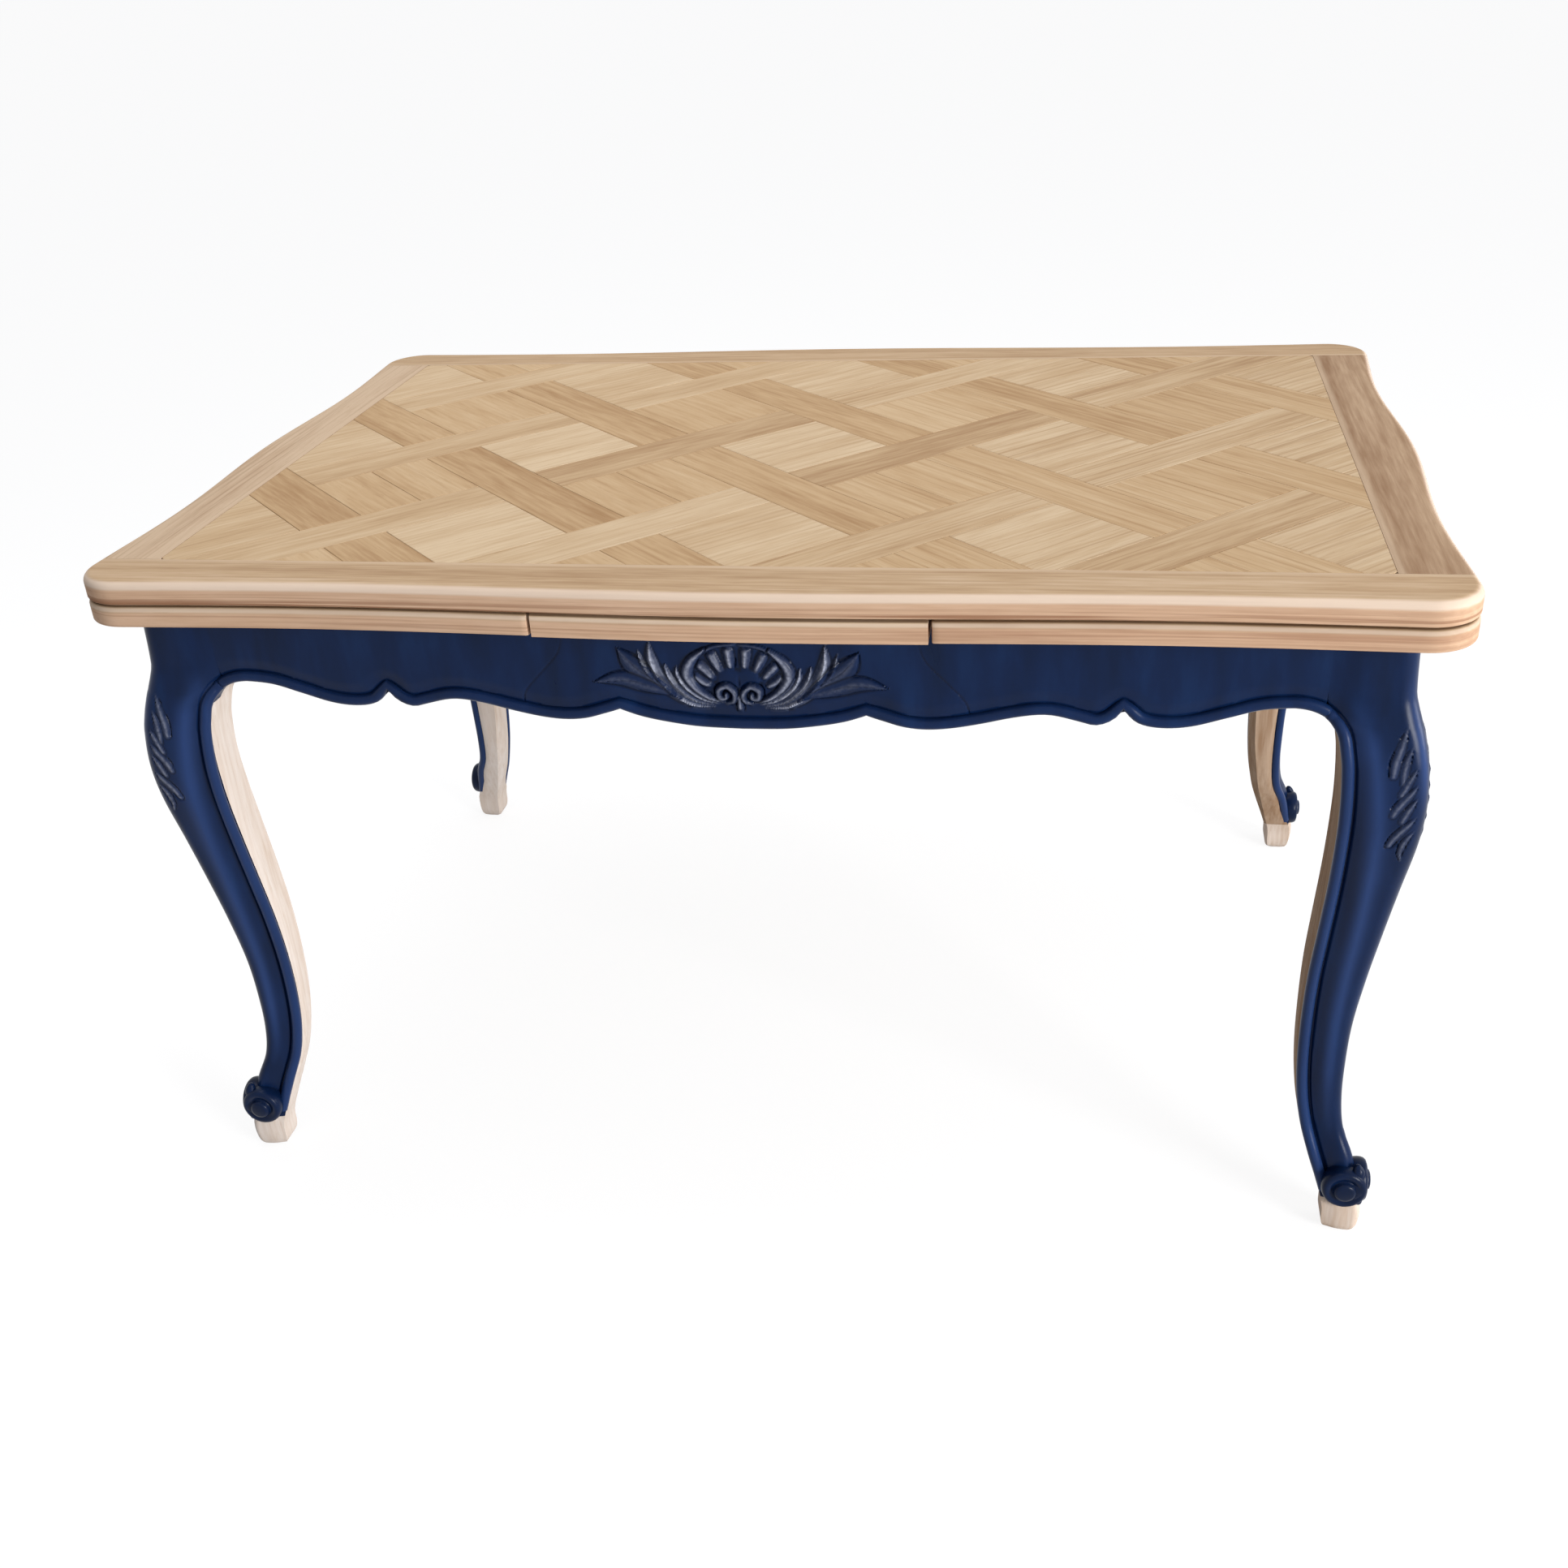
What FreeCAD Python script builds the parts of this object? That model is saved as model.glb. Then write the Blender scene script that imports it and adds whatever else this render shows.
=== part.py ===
import FreeCAD, Part
import math
import os

V = FreeCAD.Vector

# Overall sizes of the closed table: X along its length, front at -Y, floor at Z = 0
table_length = 1378.0
table_width = 922.0
table_height = 760.0

# Plan outline: each side waves gently and bulges at its middle
end_wave = 5.0
end_wave_length = 464.0
side_wave = 5.0
side_wave_length = 860.0
corner_radius = 50.0
wave_stations = 12

# Loose top: four border boards round a woven parquet on a core panel
top_thickness = 24.5
top_arris = 8.5
border_width = 73.0
parquet_thickness = 9.0
parquet_pitch = 212.0
strip_width = 70.0
parquet_joint = 0.4
least_piece_share = 0.002

# Leaves and the fixed centre board that lie below the top
leaf_thickness = 22.5
leaf_arris = 6.0
leaf_inner_width = 60.0
centre_board_length = 391.0
seam_gap = 1.6
shadow_gap = 2.0
slide_gap = 0.5

# Feet: distance of their middles from the table's edges, and their scroll discs
foot_end_inset = 54.5
foot_side_inset = 47.5
leg_width = 90.0
scroll_radius = 22.0
scroll_height = 67.0
scroll_reach = 26.5
button_radius = 12.0
button_height = 2.4

# One leg's curve: height as a share of the leg's height, then the outer and inner faces'
# distance from the foot's middle and the cut of the inner corner as shares of the leg's width
leg_curve_shares = [
    (0.000, 0.110, -0.110, 0.020),
    (0.007, 0.180, -0.180, 0.030),
    (0.021, 0.215, -0.215, 0.040),
    (0.050, 0.222, -0.226, 0.040),
    (0.090, 0.165, -0.318, 0.050),
    (0.135, 0.085, -0.440, 0.080),
    (0.176, -0.040, -0.540, 0.100),
    (0.225, -0.092, -0.612, 0.110),
    (0.288, -0.102, -0.655, 0.090),
    (0.365, -0.082, -0.668, 0.080),
    (0.451, -0.010, -0.660, 0.080),
    (0.535, 0.080, -0.624, 0.080),
    (0.619, 0.178, -0.590, 0.110),
    (0.703, 0.282, -0.578, 0.190),
    (0.760, 0.312, -0.582, 0.240),
    (0.816, 0.285, -0.606, 0.250),
    (0.844, 0.245, -0.640, 0.240),
    (0.860, 0.214, -0.667, 0.200),
    (0.872, 0.190, -0.735, 0.160),
    (0.882, 0.167, -0.830, 0.100),
    (0.898, 0.128, -0.890, 0.060),
    (0.916, 0.095, -0.900, 0.050),
    (1.000, 0.070, -0.900, 0.050),
]
leg_row_steps = 2
leg_length_steps = 4
leg_shoulder_share = 0.795
leg_corner_share = 0.22
leg_crown_share = 0.055

# Aprons: half of the lower edge from the leg to the middle, as shares of the half
# length and of the depth, in three runs that meet in points
apron_thickness = 24.0
apron_depth = 117.0
apron_edge_shares = [
    [(1.000, 0.738), (0.988, 0.704), (0.970, 0.676), (0.950, 0.666), (0.897, 0.690), (0.844, 0.767),
     (0.782, 0.857), (0.732, 0.878), (0.693, 0.838), (0.669, 0.735)],
    [(0.669, 0.735), (0.650, 0.823), (0.623, 0.870), (0.595, 0.840), (0.554, 0.793),
     (0.525, 0.788), (0.480, 0.823), (0.426, 0.887), (0.373, 0.938), (0.329, 0.956),
     (0.290, 0.938), (0.254, 0.887), (0.225, 0.842)],
    [(0.225, 0.842), (0.187, 0.904), (0.142, 0.949), (0.080, 0.988), (0.000, 1.000)],
]
tenon_length = 30.0
tenon_thickness = 12.0
tenon_height = 56.0
tenon_drop = 14.0
tenon_clearance = 0.2
peg_radius = 4.0
peg_cover = 8.0
peg_height_shares = {"long": (0.25, 0.75), "short": (0.42, 0.92)}

# Cross rail under the centre board, which guides the runners
rail_thickness = 24.0
rail_depth = 82.0
rail_housing = 8.0
rail_clearance = 0.2

# Runners: two under each leaf, side by side with the other leaf's pair
runner_width = 32.0
runner_height = 40.0
runner_leg_inset = 81.95
runner_pitch = 60.0
runner_clearance = 0.5
runner_end_inset = 2.0
stop_peg_radius = 5.0
stop_peg_drop = 12.0
stop_gap = 0.5
runner_tail = 15.0

# Screws and the pegs that guide the loose top
screw_radius = 2.5
screw_head_radius = 4.6
screw_head_height = 3.5
screw_sink = 1.0
leaf_screw_bite = 11.0
board_screw_bite = 30.0
leaf_screw_shares = (0.12, 0.5, 0.88)
board_screw_share = 0.7
guide_peg_radius = 8.0
guide_peg_length = 45.0
guide_peg_bite = 12.0
guide_peg_offset = 100.0
guide_peg_clearance = 0.6

# Levels, from the table's upper face down
top_low = table_height - top_thickness
leaf_high = top_low - shadow_gap
leaf_low = leaf_high - leaf_thickness
frame_top = leaf_low - slide_gap

# Places that follow from the sizes above
foot_x = table_length / 2 - foot_end_inset
foot_y = table_width / 2 - foot_side_inset
shoulder = leg_shoulder_share * leg_width
top_outer_share = leg_curve_shares[-1][1]
apron_face = (top_outer_share - leg_crown_share) * leg_width
leaf_travel = (table_length - centre_board_length) / 2
field_x = table_length / 2 - border_width
field_y = table_width / 2 - border_width
runner_low = leaf_low - runner_height
outer_runner_offset = foot_y - shoulder - runner_leg_inset
inner_runner_offset = outer_runner_offset - runner_pitch
overrun = table_length

os.makedirs("parts", exist_ok=True)


def save(name, pieces):
    """Write one node: a single solid, or a group of separate solids."""
    shape = pieces if not isinstance(pieces, list) else Part.makeCompound(pieces)
    shape.exportStep("parts/" + name + ".step")


def block(x, y, z):
    """Box between two X, two Y and two Z values."""
    return Part.makeBox(x[1] - x[0], y[1] - y[0], z[1] - z[0], V(x[0], y[0], z[0]))


def rod(start, axis, radius, length):
    return Part.makeCylinder(radius, length, start, axis)


def mirrored(shape, across):
    """Copy of a shape or of a list of shapes on the other side of the origin."""
    normal = V(1, 0, 0) if across == "x" else V(0, 1, 0)
    if isinstance(shape, list):
        return [piece.mirror(V(0, 0, 0), normal) for piece in shape]
    return shape.mirror(V(0, 0, 0), normal)


def spline_edge(points):
    curve = Part.BSplineCurve()
    curve.interpolate(points)
    return curve.toShape()


def half_length_at(y):
    return table_length / 2 - end_wave * (1 - math.cos(2 * math.pi * y / end_wave_length))


def half_width_at(x):
    return table_width / 2 - side_wave * (1 - math.cos(2 * math.pi * x / side_wave_length))


def between(low, high):
    """Evenly spaced stations from low to high."""
    return [low + (high - low) * i / wave_stations for i in range(wave_stations + 1)]


def slab(low, high, arris):
    """Board of the table's whole outline with rounded corners and a rounded upper arris."""
    corner_x = table_length / 2
    corner_y = table_width / 2
    for _ in range(wave_stations):
        corner_x = half_length_at(corner_y)
        corner_y = half_width_at(corner_x)
    right = [V(half_length_at(y), y, low) for y in between(-corner_y, corner_y)]
    back = [V(x, half_width_at(x), low) for x in between(corner_x, -corner_x)]
    left = [V(-half_length_at(y), y, low) for y in between(corner_y, -corner_y)]
    front = [V(x, -half_width_at(x), low) for x in between(-corner_x, corner_x)]
    for side, following in ((right, back), (back, left), (left, front), (front, right)):
        side[-1] = following[0]
    outline = Part.Wire([spline_edge(side) for side in (right, back, left, front)])
    body = Part.Face(outline).extrude(V(0, 0, high - low))
    upright = [e for e in body.Edges if e.BoundBox.ZLength > (high - low) / 2]
    body = body.makeFillet(corner_radius, upright)
    rim = [e for e in body.Edges if e.BoundBox.ZMin > high - arris / 2]
    return body.makeFillet(arris, rim)


def seam_block(inset):
    """Everything between the two seams, whose curve repeats the top's ends."""
    reach = table_width / 2 + border_width

    def half_at(y):
        return half_length_at(y) - leaf_travel - inset

    right = [V(half_at(y), y, 0) for y in between(-reach, reach)]
    left = [V(-half_at(y), y, 0) for y in between(reach, -reach)]
    edges = [spline_edge(right), Part.makeLine(right[-1], left[0])]
    edges += [spline_edge(left), Part.makeLine(left[-1], right[0])]
    return Part.Face(Part.Wire(edges)).extrude(V(0, 0, table_height))


def turned_piece(u, v, length_u, length_v, z):
    """Parquet piece centred at u, v on the axes that run at 45 degrees to the table."""
    piece = Part.makeBox(length_u, length_v, z[1] - z[0], V(-length_u / 2, -length_v / 2, z[0]))
    piece.rotate(V(0, 0, 0), V(0, 0, 1), 45)
    piece.translate(V((u + v) / math.sqrt(2), (u - v) / math.sqrt(2), 0))
    return piece


def weave(field, z):
    """Woven parquet inside a field: pale squares, dark squares, rising and falling strips."""
    pale, dark, rising, falling = [], [], [], []
    bounds = block(field[0], field[1], z)
    square = parquet_pitch - strip_width - parquet_joint
    width = strip_width - parquet_joint
    length = 2 * parquet_pitch - strip_width - parquet_joint
    reach = int((table_length + table_width) / parquet_pitch)
    least = least_piece_share * square * square * (z[1] - z[0])
    for i in range(-reach, reach):
        for j in range(-reach, reach):
            even = (i + j) % 2 == 0
            u, v = i * parquet_pitch, j * parquet_pitch
            crossing_u, crossing_v = u + parquet_pitch / 2, v + parquet_pitch / 2
            sides = (length, width) if even else (width, length)
            found = [(turned_piece(u, v, square, square, z), pale if even else dark)]
            strip = turned_piece(crossing_u, crossing_v, sides[0], sides[1], z)
            found.append((strip, rising if even else falling))
            for piece, group in found:
                if not piece.BoundBox.intersect(bounds.BoundBox):
                    continue
                kept = piece.common(bounds)
                group += [solid for solid in kept.Solids if solid.Volume > least]
    return pale, dark, rising, falling


def screw(head, axis, length):
    """Countersunk screw from the middle of its head along an axis."""
    cone = Part.makeCone(screw_head_radius, screw_radius, screw_head_height, head, axis)
    return cone.fuse(rod(head, axis, screw_radius, length)).removeSplitter()


def leg_section(height, outer, inner, cut):
    """Square section: outer corner rounded, outer faces slightly crowned, inner corner cut."""
    radius = leg_corner_share * (outer - inner)
    low = outer - leg_crown_share * leg_width
    centre = outer - radius
    middle = centre + radius / math.sqrt(2)
    corners = [V(centre, outer, height), V(inner, low, height), V(inner, inner + cut, height)]
    corners += [V(inner + cut, inner, height), V(low, inner, height), V(outer, centre, height)]
    edges = [Part.makeLine(a, b) for a, b in zip(corners, corners[1:])]
    arc = Part.Arc(corners[-1], V(middle, middle, height), corners[0])
    return Part.Wire(edges + [arc.toShape()])


def scroll(axis):
    """Disc and raised button at the end of the foot's roll, facing along an axis."""
    start = V(0, 0, scroll_height)
    disc = rod(start, axis, scroll_radius, scroll_reach)
    return disc.fuse(rod(start, axis, button_radius, scroll_reach + button_height))


def smooth_through(rows, place):
    """Values at a place of a table, on smooth curves through its rows."""
    k = max(i for i in range(len(rows) - 1) if rows[i][0] <= place)
    a, b = rows[k], rows[k + 1]
    before, after = rows[max(k - 1, 0)], rows[min(k + 2, len(rows) - 1)]
    span = b[0] - a[0]
    t = (place - a[0]) / span
    found = []
    for c in range(1, len(a)):
        rise_a = (b[c] - before[c]) / (b[0] - before[0]) * span
        rise_b = (after[c] - a[c]) / (after[0] - a[0]) * span
        start = (2 * t ** 3 - 3 * t ** 2 + 1) * a[c] + (t ** 3 - 2 * t ** 2 + t) * rise_a
        found.append(start + (3 * t ** 2 - 2 * t ** 3) * b[c] + (t ** 3 - t ** 2) * rise_b)
    return found


def leg_blank():
    """Leg about its foot's middle, its outer faces towards +X and +Y, lofted in short lengths."""
    heights = [leg_curve_shares[0][0]]
    for low, high in zip(leg_curve_shares, leg_curve_shares[1:]):
        rise = (high[0] - low[0]) / leg_row_steps
        heights += [low[0] + rise * (i + 1) for i in range(leg_row_steps)]
    sections = []
    for height in heights:
        sides = smooth_through(leg_curve_shares, height)
        sections.append(leg_section(height * frame_top, *[share * leg_width for share in sides]))
    starts = range(0, len(sections) - 1, leg_length_steps)
    lengths = [Part.makeLoft(sections[i:i + leg_length_steps + 1], True, False) for i in starts]
    lengths += [scroll(V(1, 0, 0)), scroll(V(0, 1, 0))]
    whole = lengths[0].fuse(lengths[1:]).removeSplitter()
    room = (-shoulder, leg_width)
    return whole.common(block(room, room, (0, frame_top)))


def apron_blank(half):
    """Apron board along X with its outer face at Y = 0, its thickness towards +Y."""
    def run(shares, sign):
        return [V(sign * x * half, 0, frame_top - drop * apron_depth) for x, drop in shares]

    right = [spline_edge(run(shares, 1)) for shares in apron_edge_shares]
    left = [spline_edge(run(shares, -1)) for shares in apron_edge_shares]
    low = apron_edge_shares[0][0][1] * apron_depth
    ends = [V(half, 0, frame_top - low), V(half, 0, frame_top)]
    ends += [V(-half, 0, frame_top), V(-half, 0, frame_top - low)]
    lines = [Part.makeLine(a, b) for a, b in zip(ends, ends[1:])]
    outline = Part.Wire(Part.__sortEdges__(right + left + lines))
    board = Part.Face(outline).extrude(V(0, apron_thickness, 0))
    return board.fuse(tenon(half, 0)).fuse(mirrored(tenon(half, 0), "x")).removeSplitter()


def tenon(half, clearance):
    """Tenon at the +X end of an apron, or its mortise when a clearance is given."""
    middle = apron_thickness / 2
    side = tenon_thickness / 2 + clearance
    high = frame_top - tenon_drop
    length = (half - clearance, half + tenon_length + clearance)
    return block(length, (middle - side, middle + side), (high - tenon_height - clearance, high + clearance))


def tenon_pegs(half, kind):
    """Pegs across the +X tenon of an apron, entered from the leg's inner face."""
    inside = shoulder + apron_face
    pegs = []
    for share in peg_height_shares[kind]:
        start = V(half + tenon_length / 2, peg_cover, frame_top - tenon_drop - share * tenon_height)
        pegs.append(rod(start, V(0, 1, 0), peg_radius, inside - peg_cover))
    return pegs


def place_long(shape):
    """Front apron's place: its outer face towards the viewer."""
    moved = shape.copy()
    moved.translate(V(0, -foot_y - apron_face, 0))
    return moved


def place_short(shape):
    """Right apron's place: its outer face towards +X."""
    moved = shape.copy()
    moved.rotate(V(0, 0, 0), V(0, 0, 1), 90)
    moved.translate(V(foot_x + apron_face, 0, 0))
    return moved


def all_corners(pieces):
    """Copies of pieces at the front right corner, at all four corners."""
    front = pieces + mirrored(pieces, "x")
    return front + mirrored(front, "y")


# Fixed frame: legs, aprons, cross rail and pegs
half_long = foot_x - shoulder
half_short = foot_y - shoulder
long_apron = place_long(apron_blank(half_long))
short_apron = place_short(apron_blank(half_short))
long_pegs = [place_long(peg) for peg in tenon_pegs(half_long, "long")]
short_pegs = [place_short(mirrored(peg, "x")) for peg in tenon_pegs(half_short, "short")]
corner_pegs = long_pegs + short_pegs

long_mortise = place_long(tenon(half_long, tenon_clearance))
short_mortise = place_short(mirrored(tenon(half_short, tenon_clearance), "x"))
leg = mirrored(leg_blank(), "y")
leg.translate(V(foot_x, -foot_y, 0))
leg = leg.cut([long_mortise, short_mortise] + corner_pegs)
save("front_right_leg", leg)
save("front_left_leg", mirrored(leg, "x"))
save("back_right_leg", mirrored(leg, "y"))
save("back_left_leg", mirrored(mirrored(leg, "x"), "y"))
pegs = all_corners(corner_pegs)
save("joint_pegs", pegs)

rail_reach = foot_y + apron_face - apron_thickness + rail_housing
rail_x = (-rail_thickness / 2, rail_thickness / 2)
rail_z = (frame_top - rail_depth, frame_top)
rail = block(rail_x, (-rail_reach, rail_reach), rail_z)
housing_x = (rail_x[0] - rail_clearance, rail_x[1] + rail_clearance)
housing_reach = rail_reach + rail_clearance
housing = block(housing_x, (-housing_reach, housing_reach), (rail_z[0] - rail_clearance, frame_top))


def runner_slot(y):
    """Slot for one runner, open at the top of the rail or apron that it crosses."""
    side = runner_width / 2 + runner_clearance
    return block((-overrun, overrun), (y - side, y + side), (runner_low - runner_clearance, frame_top))


inner_slots = [runner_slot(inner_runner_offset), runner_slot(-inner_runner_offset)]
outer_slots = [runner_slot(outer_runner_offset), runner_slot(-outer_runner_offset)]

# Centre board, held by screws in the long aprons and in the rail
lower_slab = slab(leaf_low, leaf_high, leaf_arris)
centre_board = slab(frame_top, top_low, leaf_arris).common(seam_block(seam_gap))
screw_top = top_low - screw_sink
board_screw_length = screw_top - frame_top + board_screw_bite
screw_x = board_screw_share * centre_board_length / 2
screw_y = foot_y + apron_face - apron_thickness / 2
board_places = [(sx * screw_x, sy * screw_y) for sx in (-1, 1) for sy in (-1, 1)]
board_places += [(0, -inner_runner_offset / 2), (0, inner_runner_offset / 2)]
board_screws = []
for x, y in board_places:
    board_screws.append(screw(V(x, y, screw_top), V(0, 0, -1), board_screw_length))
screw_wells = [rod(V(x, y, screw_top), V(0, 0, 1), screw_head_radius, overrun) for x, y in board_places]
guide_places = [V(-guide_peg_offset, 0, 0), V(guide_peg_offset, 0, 0)]
guide_holes = []
for place in guide_places:
    guide_holes.append(rod(place, V(0, 0, 1), guide_peg_radius + guide_peg_clearance, table_height))

save("centre_board", centre_board.cut(board_screws + screw_wells + guide_holes))
save("centre_board_screws", board_screws)
save("centre_rail", rail.cut(inner_slots + outer_slots + board_screws))
long_apron = long_apron.cut([housing] + board_screws + pegs)
save("front_apron", long_apron)
save("back_apron", mirrored(long_apron, "y"))
short_apron = short_apron.cut(pegs)
save("right_apron", short_apron.cut(outer_slots))
save("left_apron", mirrored(short_apron, "x").cut(inner_slots))

# Loose top
top_slab = slab(top_low, table_height, top_arris)
top_z = (top_low, table_height)
core_high = table_height - parquet_thickness
wide = (-overrun, overrun)
guide_pegs = []
for place in guide_places:
    low_end = place + V(0, 0, top_low - guide_peg_length)
    guide_pegs.append(rod(low_end, V(0, 0, 1), guide_peg_radius, guide_peg_length + guide_peg_bite))
front_board = top_slab.common(block(wide, (-overrun, -field_y), top_z))
end_board = top_slab.common(block((field_x, overrun), (-field_y, field_y), top_z))
save("top_front_board", front_board)
save("top_back_board", mirrored(front_board, "y"))
save("top_right_board", end_board)
save("top_left_board", mirrored(end_board, "x"))
field = ((-field_x, field_x), (-field_y, field_y))
save("top_core", block(field[0], field[1], (top_low, core_high)).cut(guide_pegs))
save("top_guide_pegs", guide_pegs)
pale, dark, rising, falling = weave(field, (core_high, table_height))
save("top_pale_squares", pale)
save("top_dark_squares", dark)
save("top_rising_strips", rising)
save("top_falling_strips", falling)


def save_leaf(side, runner_offset):
    """One drawn leaf, built at the left end and mirrored for the right one."""
    def keep(name, pieces):
        save(side + "_leaf_" + name, pieces if side == "left" else mirrored(pieces, "x"))

    leaf = lower_slab.cut(seam_block(0)).common(block((-overrun, 0), wide, (0, table_height)))
    inner_edge = -(half_length_at(0) - leaf_travel) - leaf_inner_width
    leaf_z = (leaf_low, leaf_high)
    leaf_core_high = leaf_high - parquet_thickness
    leaf_field = ((-field_x, inner_edge), (-field_y, field_y))
    long_board = leaf.common(block(wide, (-overrun, -field_y), leaf_z))
    outer_board = leaf.common(block((-overrun, -field_x), leaf_field[1], leaf_z))
    inner_board = leaf.common(block((inner_edge, 0), leaf_field[1], leaf_z))
    keep("front_board", long_board)
    keep("back_board", mirrored(long_board, "y"))
    keep("outer_board", outer_board)
    keep("inner_board", inner_board)

    runner_x0 = -(foot_x + apron_face) + runner_end_inset
    peg_x = rail_thickness / 2 + stop_peg_radius + stop_gap + leaf_travel
    head_end = -centre_board_length / 2 - seam_gap
    runner_y = (runner_offset - runner_width / 2, runner_offset + runner_width / 2)
    head = block((runner_x0, head_end), runner_y, (runner_low, leaf_low))
    tail = block((head_end, peg_x + runner_tail), runner_y, (runner_low, frame_top - slide_gap))
    runner = head.fuse(tail).removeSplitter()
    peg = rod(V(peg_x, runner_offset, runner_low - stop_peg_drop), V(0, 0, 1), stop_peg_radius,
              stop_peg_drop + runner_height / 2)
    screw_low = runner_low + screw_sink
    screws = []
    wells = []
    for share in leaf_screw_shares:
        place = V(-field_x + share * (inner_edge + field_x), runner_offset, screw_low)
        screws.append(screw(place, V(0, 0, 1), runner_height - screw_sink + leaf_screw_bite))
        wells.append(rod(place, V(0, 0, -1), screw_head_radius, screw_sink + stop_peg_drop))
    runner = runner.cut(screws + wells + [peg])
    keep("back_runner", runner)
    keep("front_runner", mirrored(runner, "y"))
    screws = screws + mirrored(screws, "y")
    keep("screws", screws)
    keep("stop_pegs", [peg, mirrored(peg, "y")])
    core = block(leaf_field[0], leaf_field[1], (leaf_low, leaf_core_high))
    keep("core", core.cut(screws))
    leaf_pale, leaf_dark, leaf_rising, leaf_falling = weave(leaf_field, (leaf_core_high, leaf_high))
    keep("squares", leaf_pale + leaf_dark)
    keep("strips", leaf_rising + leaf_falling)


save_leaf("left", inner_runner_offset)
save_leaf("right", outer_runner_offset)
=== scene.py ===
import math
import random

import bmesh
import bpy
import numpy as np
from mathutils import Matrix, Vector


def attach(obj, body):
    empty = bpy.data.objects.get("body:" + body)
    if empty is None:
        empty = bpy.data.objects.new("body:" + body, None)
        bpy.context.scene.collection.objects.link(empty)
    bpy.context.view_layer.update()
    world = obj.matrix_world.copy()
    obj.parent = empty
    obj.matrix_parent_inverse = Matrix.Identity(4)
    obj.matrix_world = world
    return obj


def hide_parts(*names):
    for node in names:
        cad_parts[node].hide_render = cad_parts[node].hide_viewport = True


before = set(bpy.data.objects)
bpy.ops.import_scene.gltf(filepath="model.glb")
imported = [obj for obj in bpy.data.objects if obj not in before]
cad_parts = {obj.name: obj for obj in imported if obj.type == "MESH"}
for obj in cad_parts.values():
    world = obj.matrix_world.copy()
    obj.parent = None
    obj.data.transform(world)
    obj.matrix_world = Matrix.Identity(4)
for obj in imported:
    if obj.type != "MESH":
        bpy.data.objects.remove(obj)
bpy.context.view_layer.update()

# Sizes are written in millimetres and turned into metres when a mesh is made
MM = 0.001
random.seed(7)

table_length = 1378.0
table_width = 922.0
table_height = 760.0
end_wave = 5.0
end_wave_length = 464.0
side_wave = 5.0
side_wave_length = 860.0
corner_radius = 50.0
border_width = 73.0
field_x = table_length / 2 - border_width
field_y = table_width / 2 - border_width

top_thickness = 24.5
top_arris = 8.5
leaf_thickness = 22.5
leaf_arris = 6.0
lower_arris = 1.6
shadow_gap = 2.0
slide_gap = 0.5
top_low = table_height - top_thickness
leaf_high = top_low - shadow_gap
leaf_low = leaf_high - leaf_thickness
frame_top = leaf_low - slide_gap
parquet_thickness = 9.0
centre_board_length = 391.0
leaf_inner_width = 60.0
leaf_travel = (table_length - centre_board_length) / 2

leg_width = 90.0
foot_end_inset = 54.5
foot_side_inset = 47.5
leg_shoulder_share = 0.795
leg_corner_share = 0.22
leg_crown_share = 0.055
foot_x = table_length / 2 - foot_end_inset
foot_y = table_width / 2 - foot_side_inset
leg_shoulder = leg_shoulder_share * leg_width
apron_face = 1.35
apron_thickness = 24.0
apron_depth = 117.0
half_long = foot_x - leg_shoulder
half_short = foot_y - leg_shoulder
face_y = foot_y + apron_face
face_x = foot_x + apron_face

runner_width = 32.0
runner_height = 40.0
runner_clearance = 0.5
runner_leg_inset = 81.95
runner_pitch = 60.0
outer_runner_offset = foot_y - leg_shoulder - runner_leg_inset
inner_runner_offset = outer_runner_offset - runner_pitch

# Moulded edge: its bead, which grows slimmer towards the foot, the rebate beside it, and the rolled
# shoulder above, which changes from the apron's form to the leg's
bead_radius = 6.0
bead_stand = 1.4
bead_sides = 14
bead_low = 52.0
bead_end_share = 0.55
bead_taper = 120.0
rebate_depth = 2.4
shoulder_roll = 17.0
shoulder_drop = 3.0
leg_roll = 25.0
leg_drop = 8.0
roll_change = 90.0
groove_width = 2.2
pad_top = 43.0
pad_fade = 30.0

# Points round a leg's section: on its corner, on its face, near its moulded edge and on its back
corner_steps = 11
face_steps = 34
edge_steps = [0.0, 1.0, 3.0, 6.0, 9.0, 11.0, 12.0, 12.8, 13.6, 14.4, 16.0, 18.0, 20.0]
edge_share = 0.6
back_steps = 5

# Rows of a leg's mesh on its pad, its shank, its carved knee and its block: first, last and count
leg_rows = [(0.0, 24.0, 13), (30.0, 470.0, 80), (474.0, 640.0, 130), (645.0, frame_top, 12)]

# Swell of a leg's face, the face width from which it is full, and how the face falls to its edge
face_swell = 1.6
full_swell_width = 60.0
crown_power = 1.4

# Joint of leg and apron: the height above which its sides are painted too, the rise and breadth over
# which the leg's face comes level with the apron's, and how far the edge's bend is evened out
joint_coat = 608.0
joint_rise = 24.0
joint_blend = 28.0
joint_reach = 30.0

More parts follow.
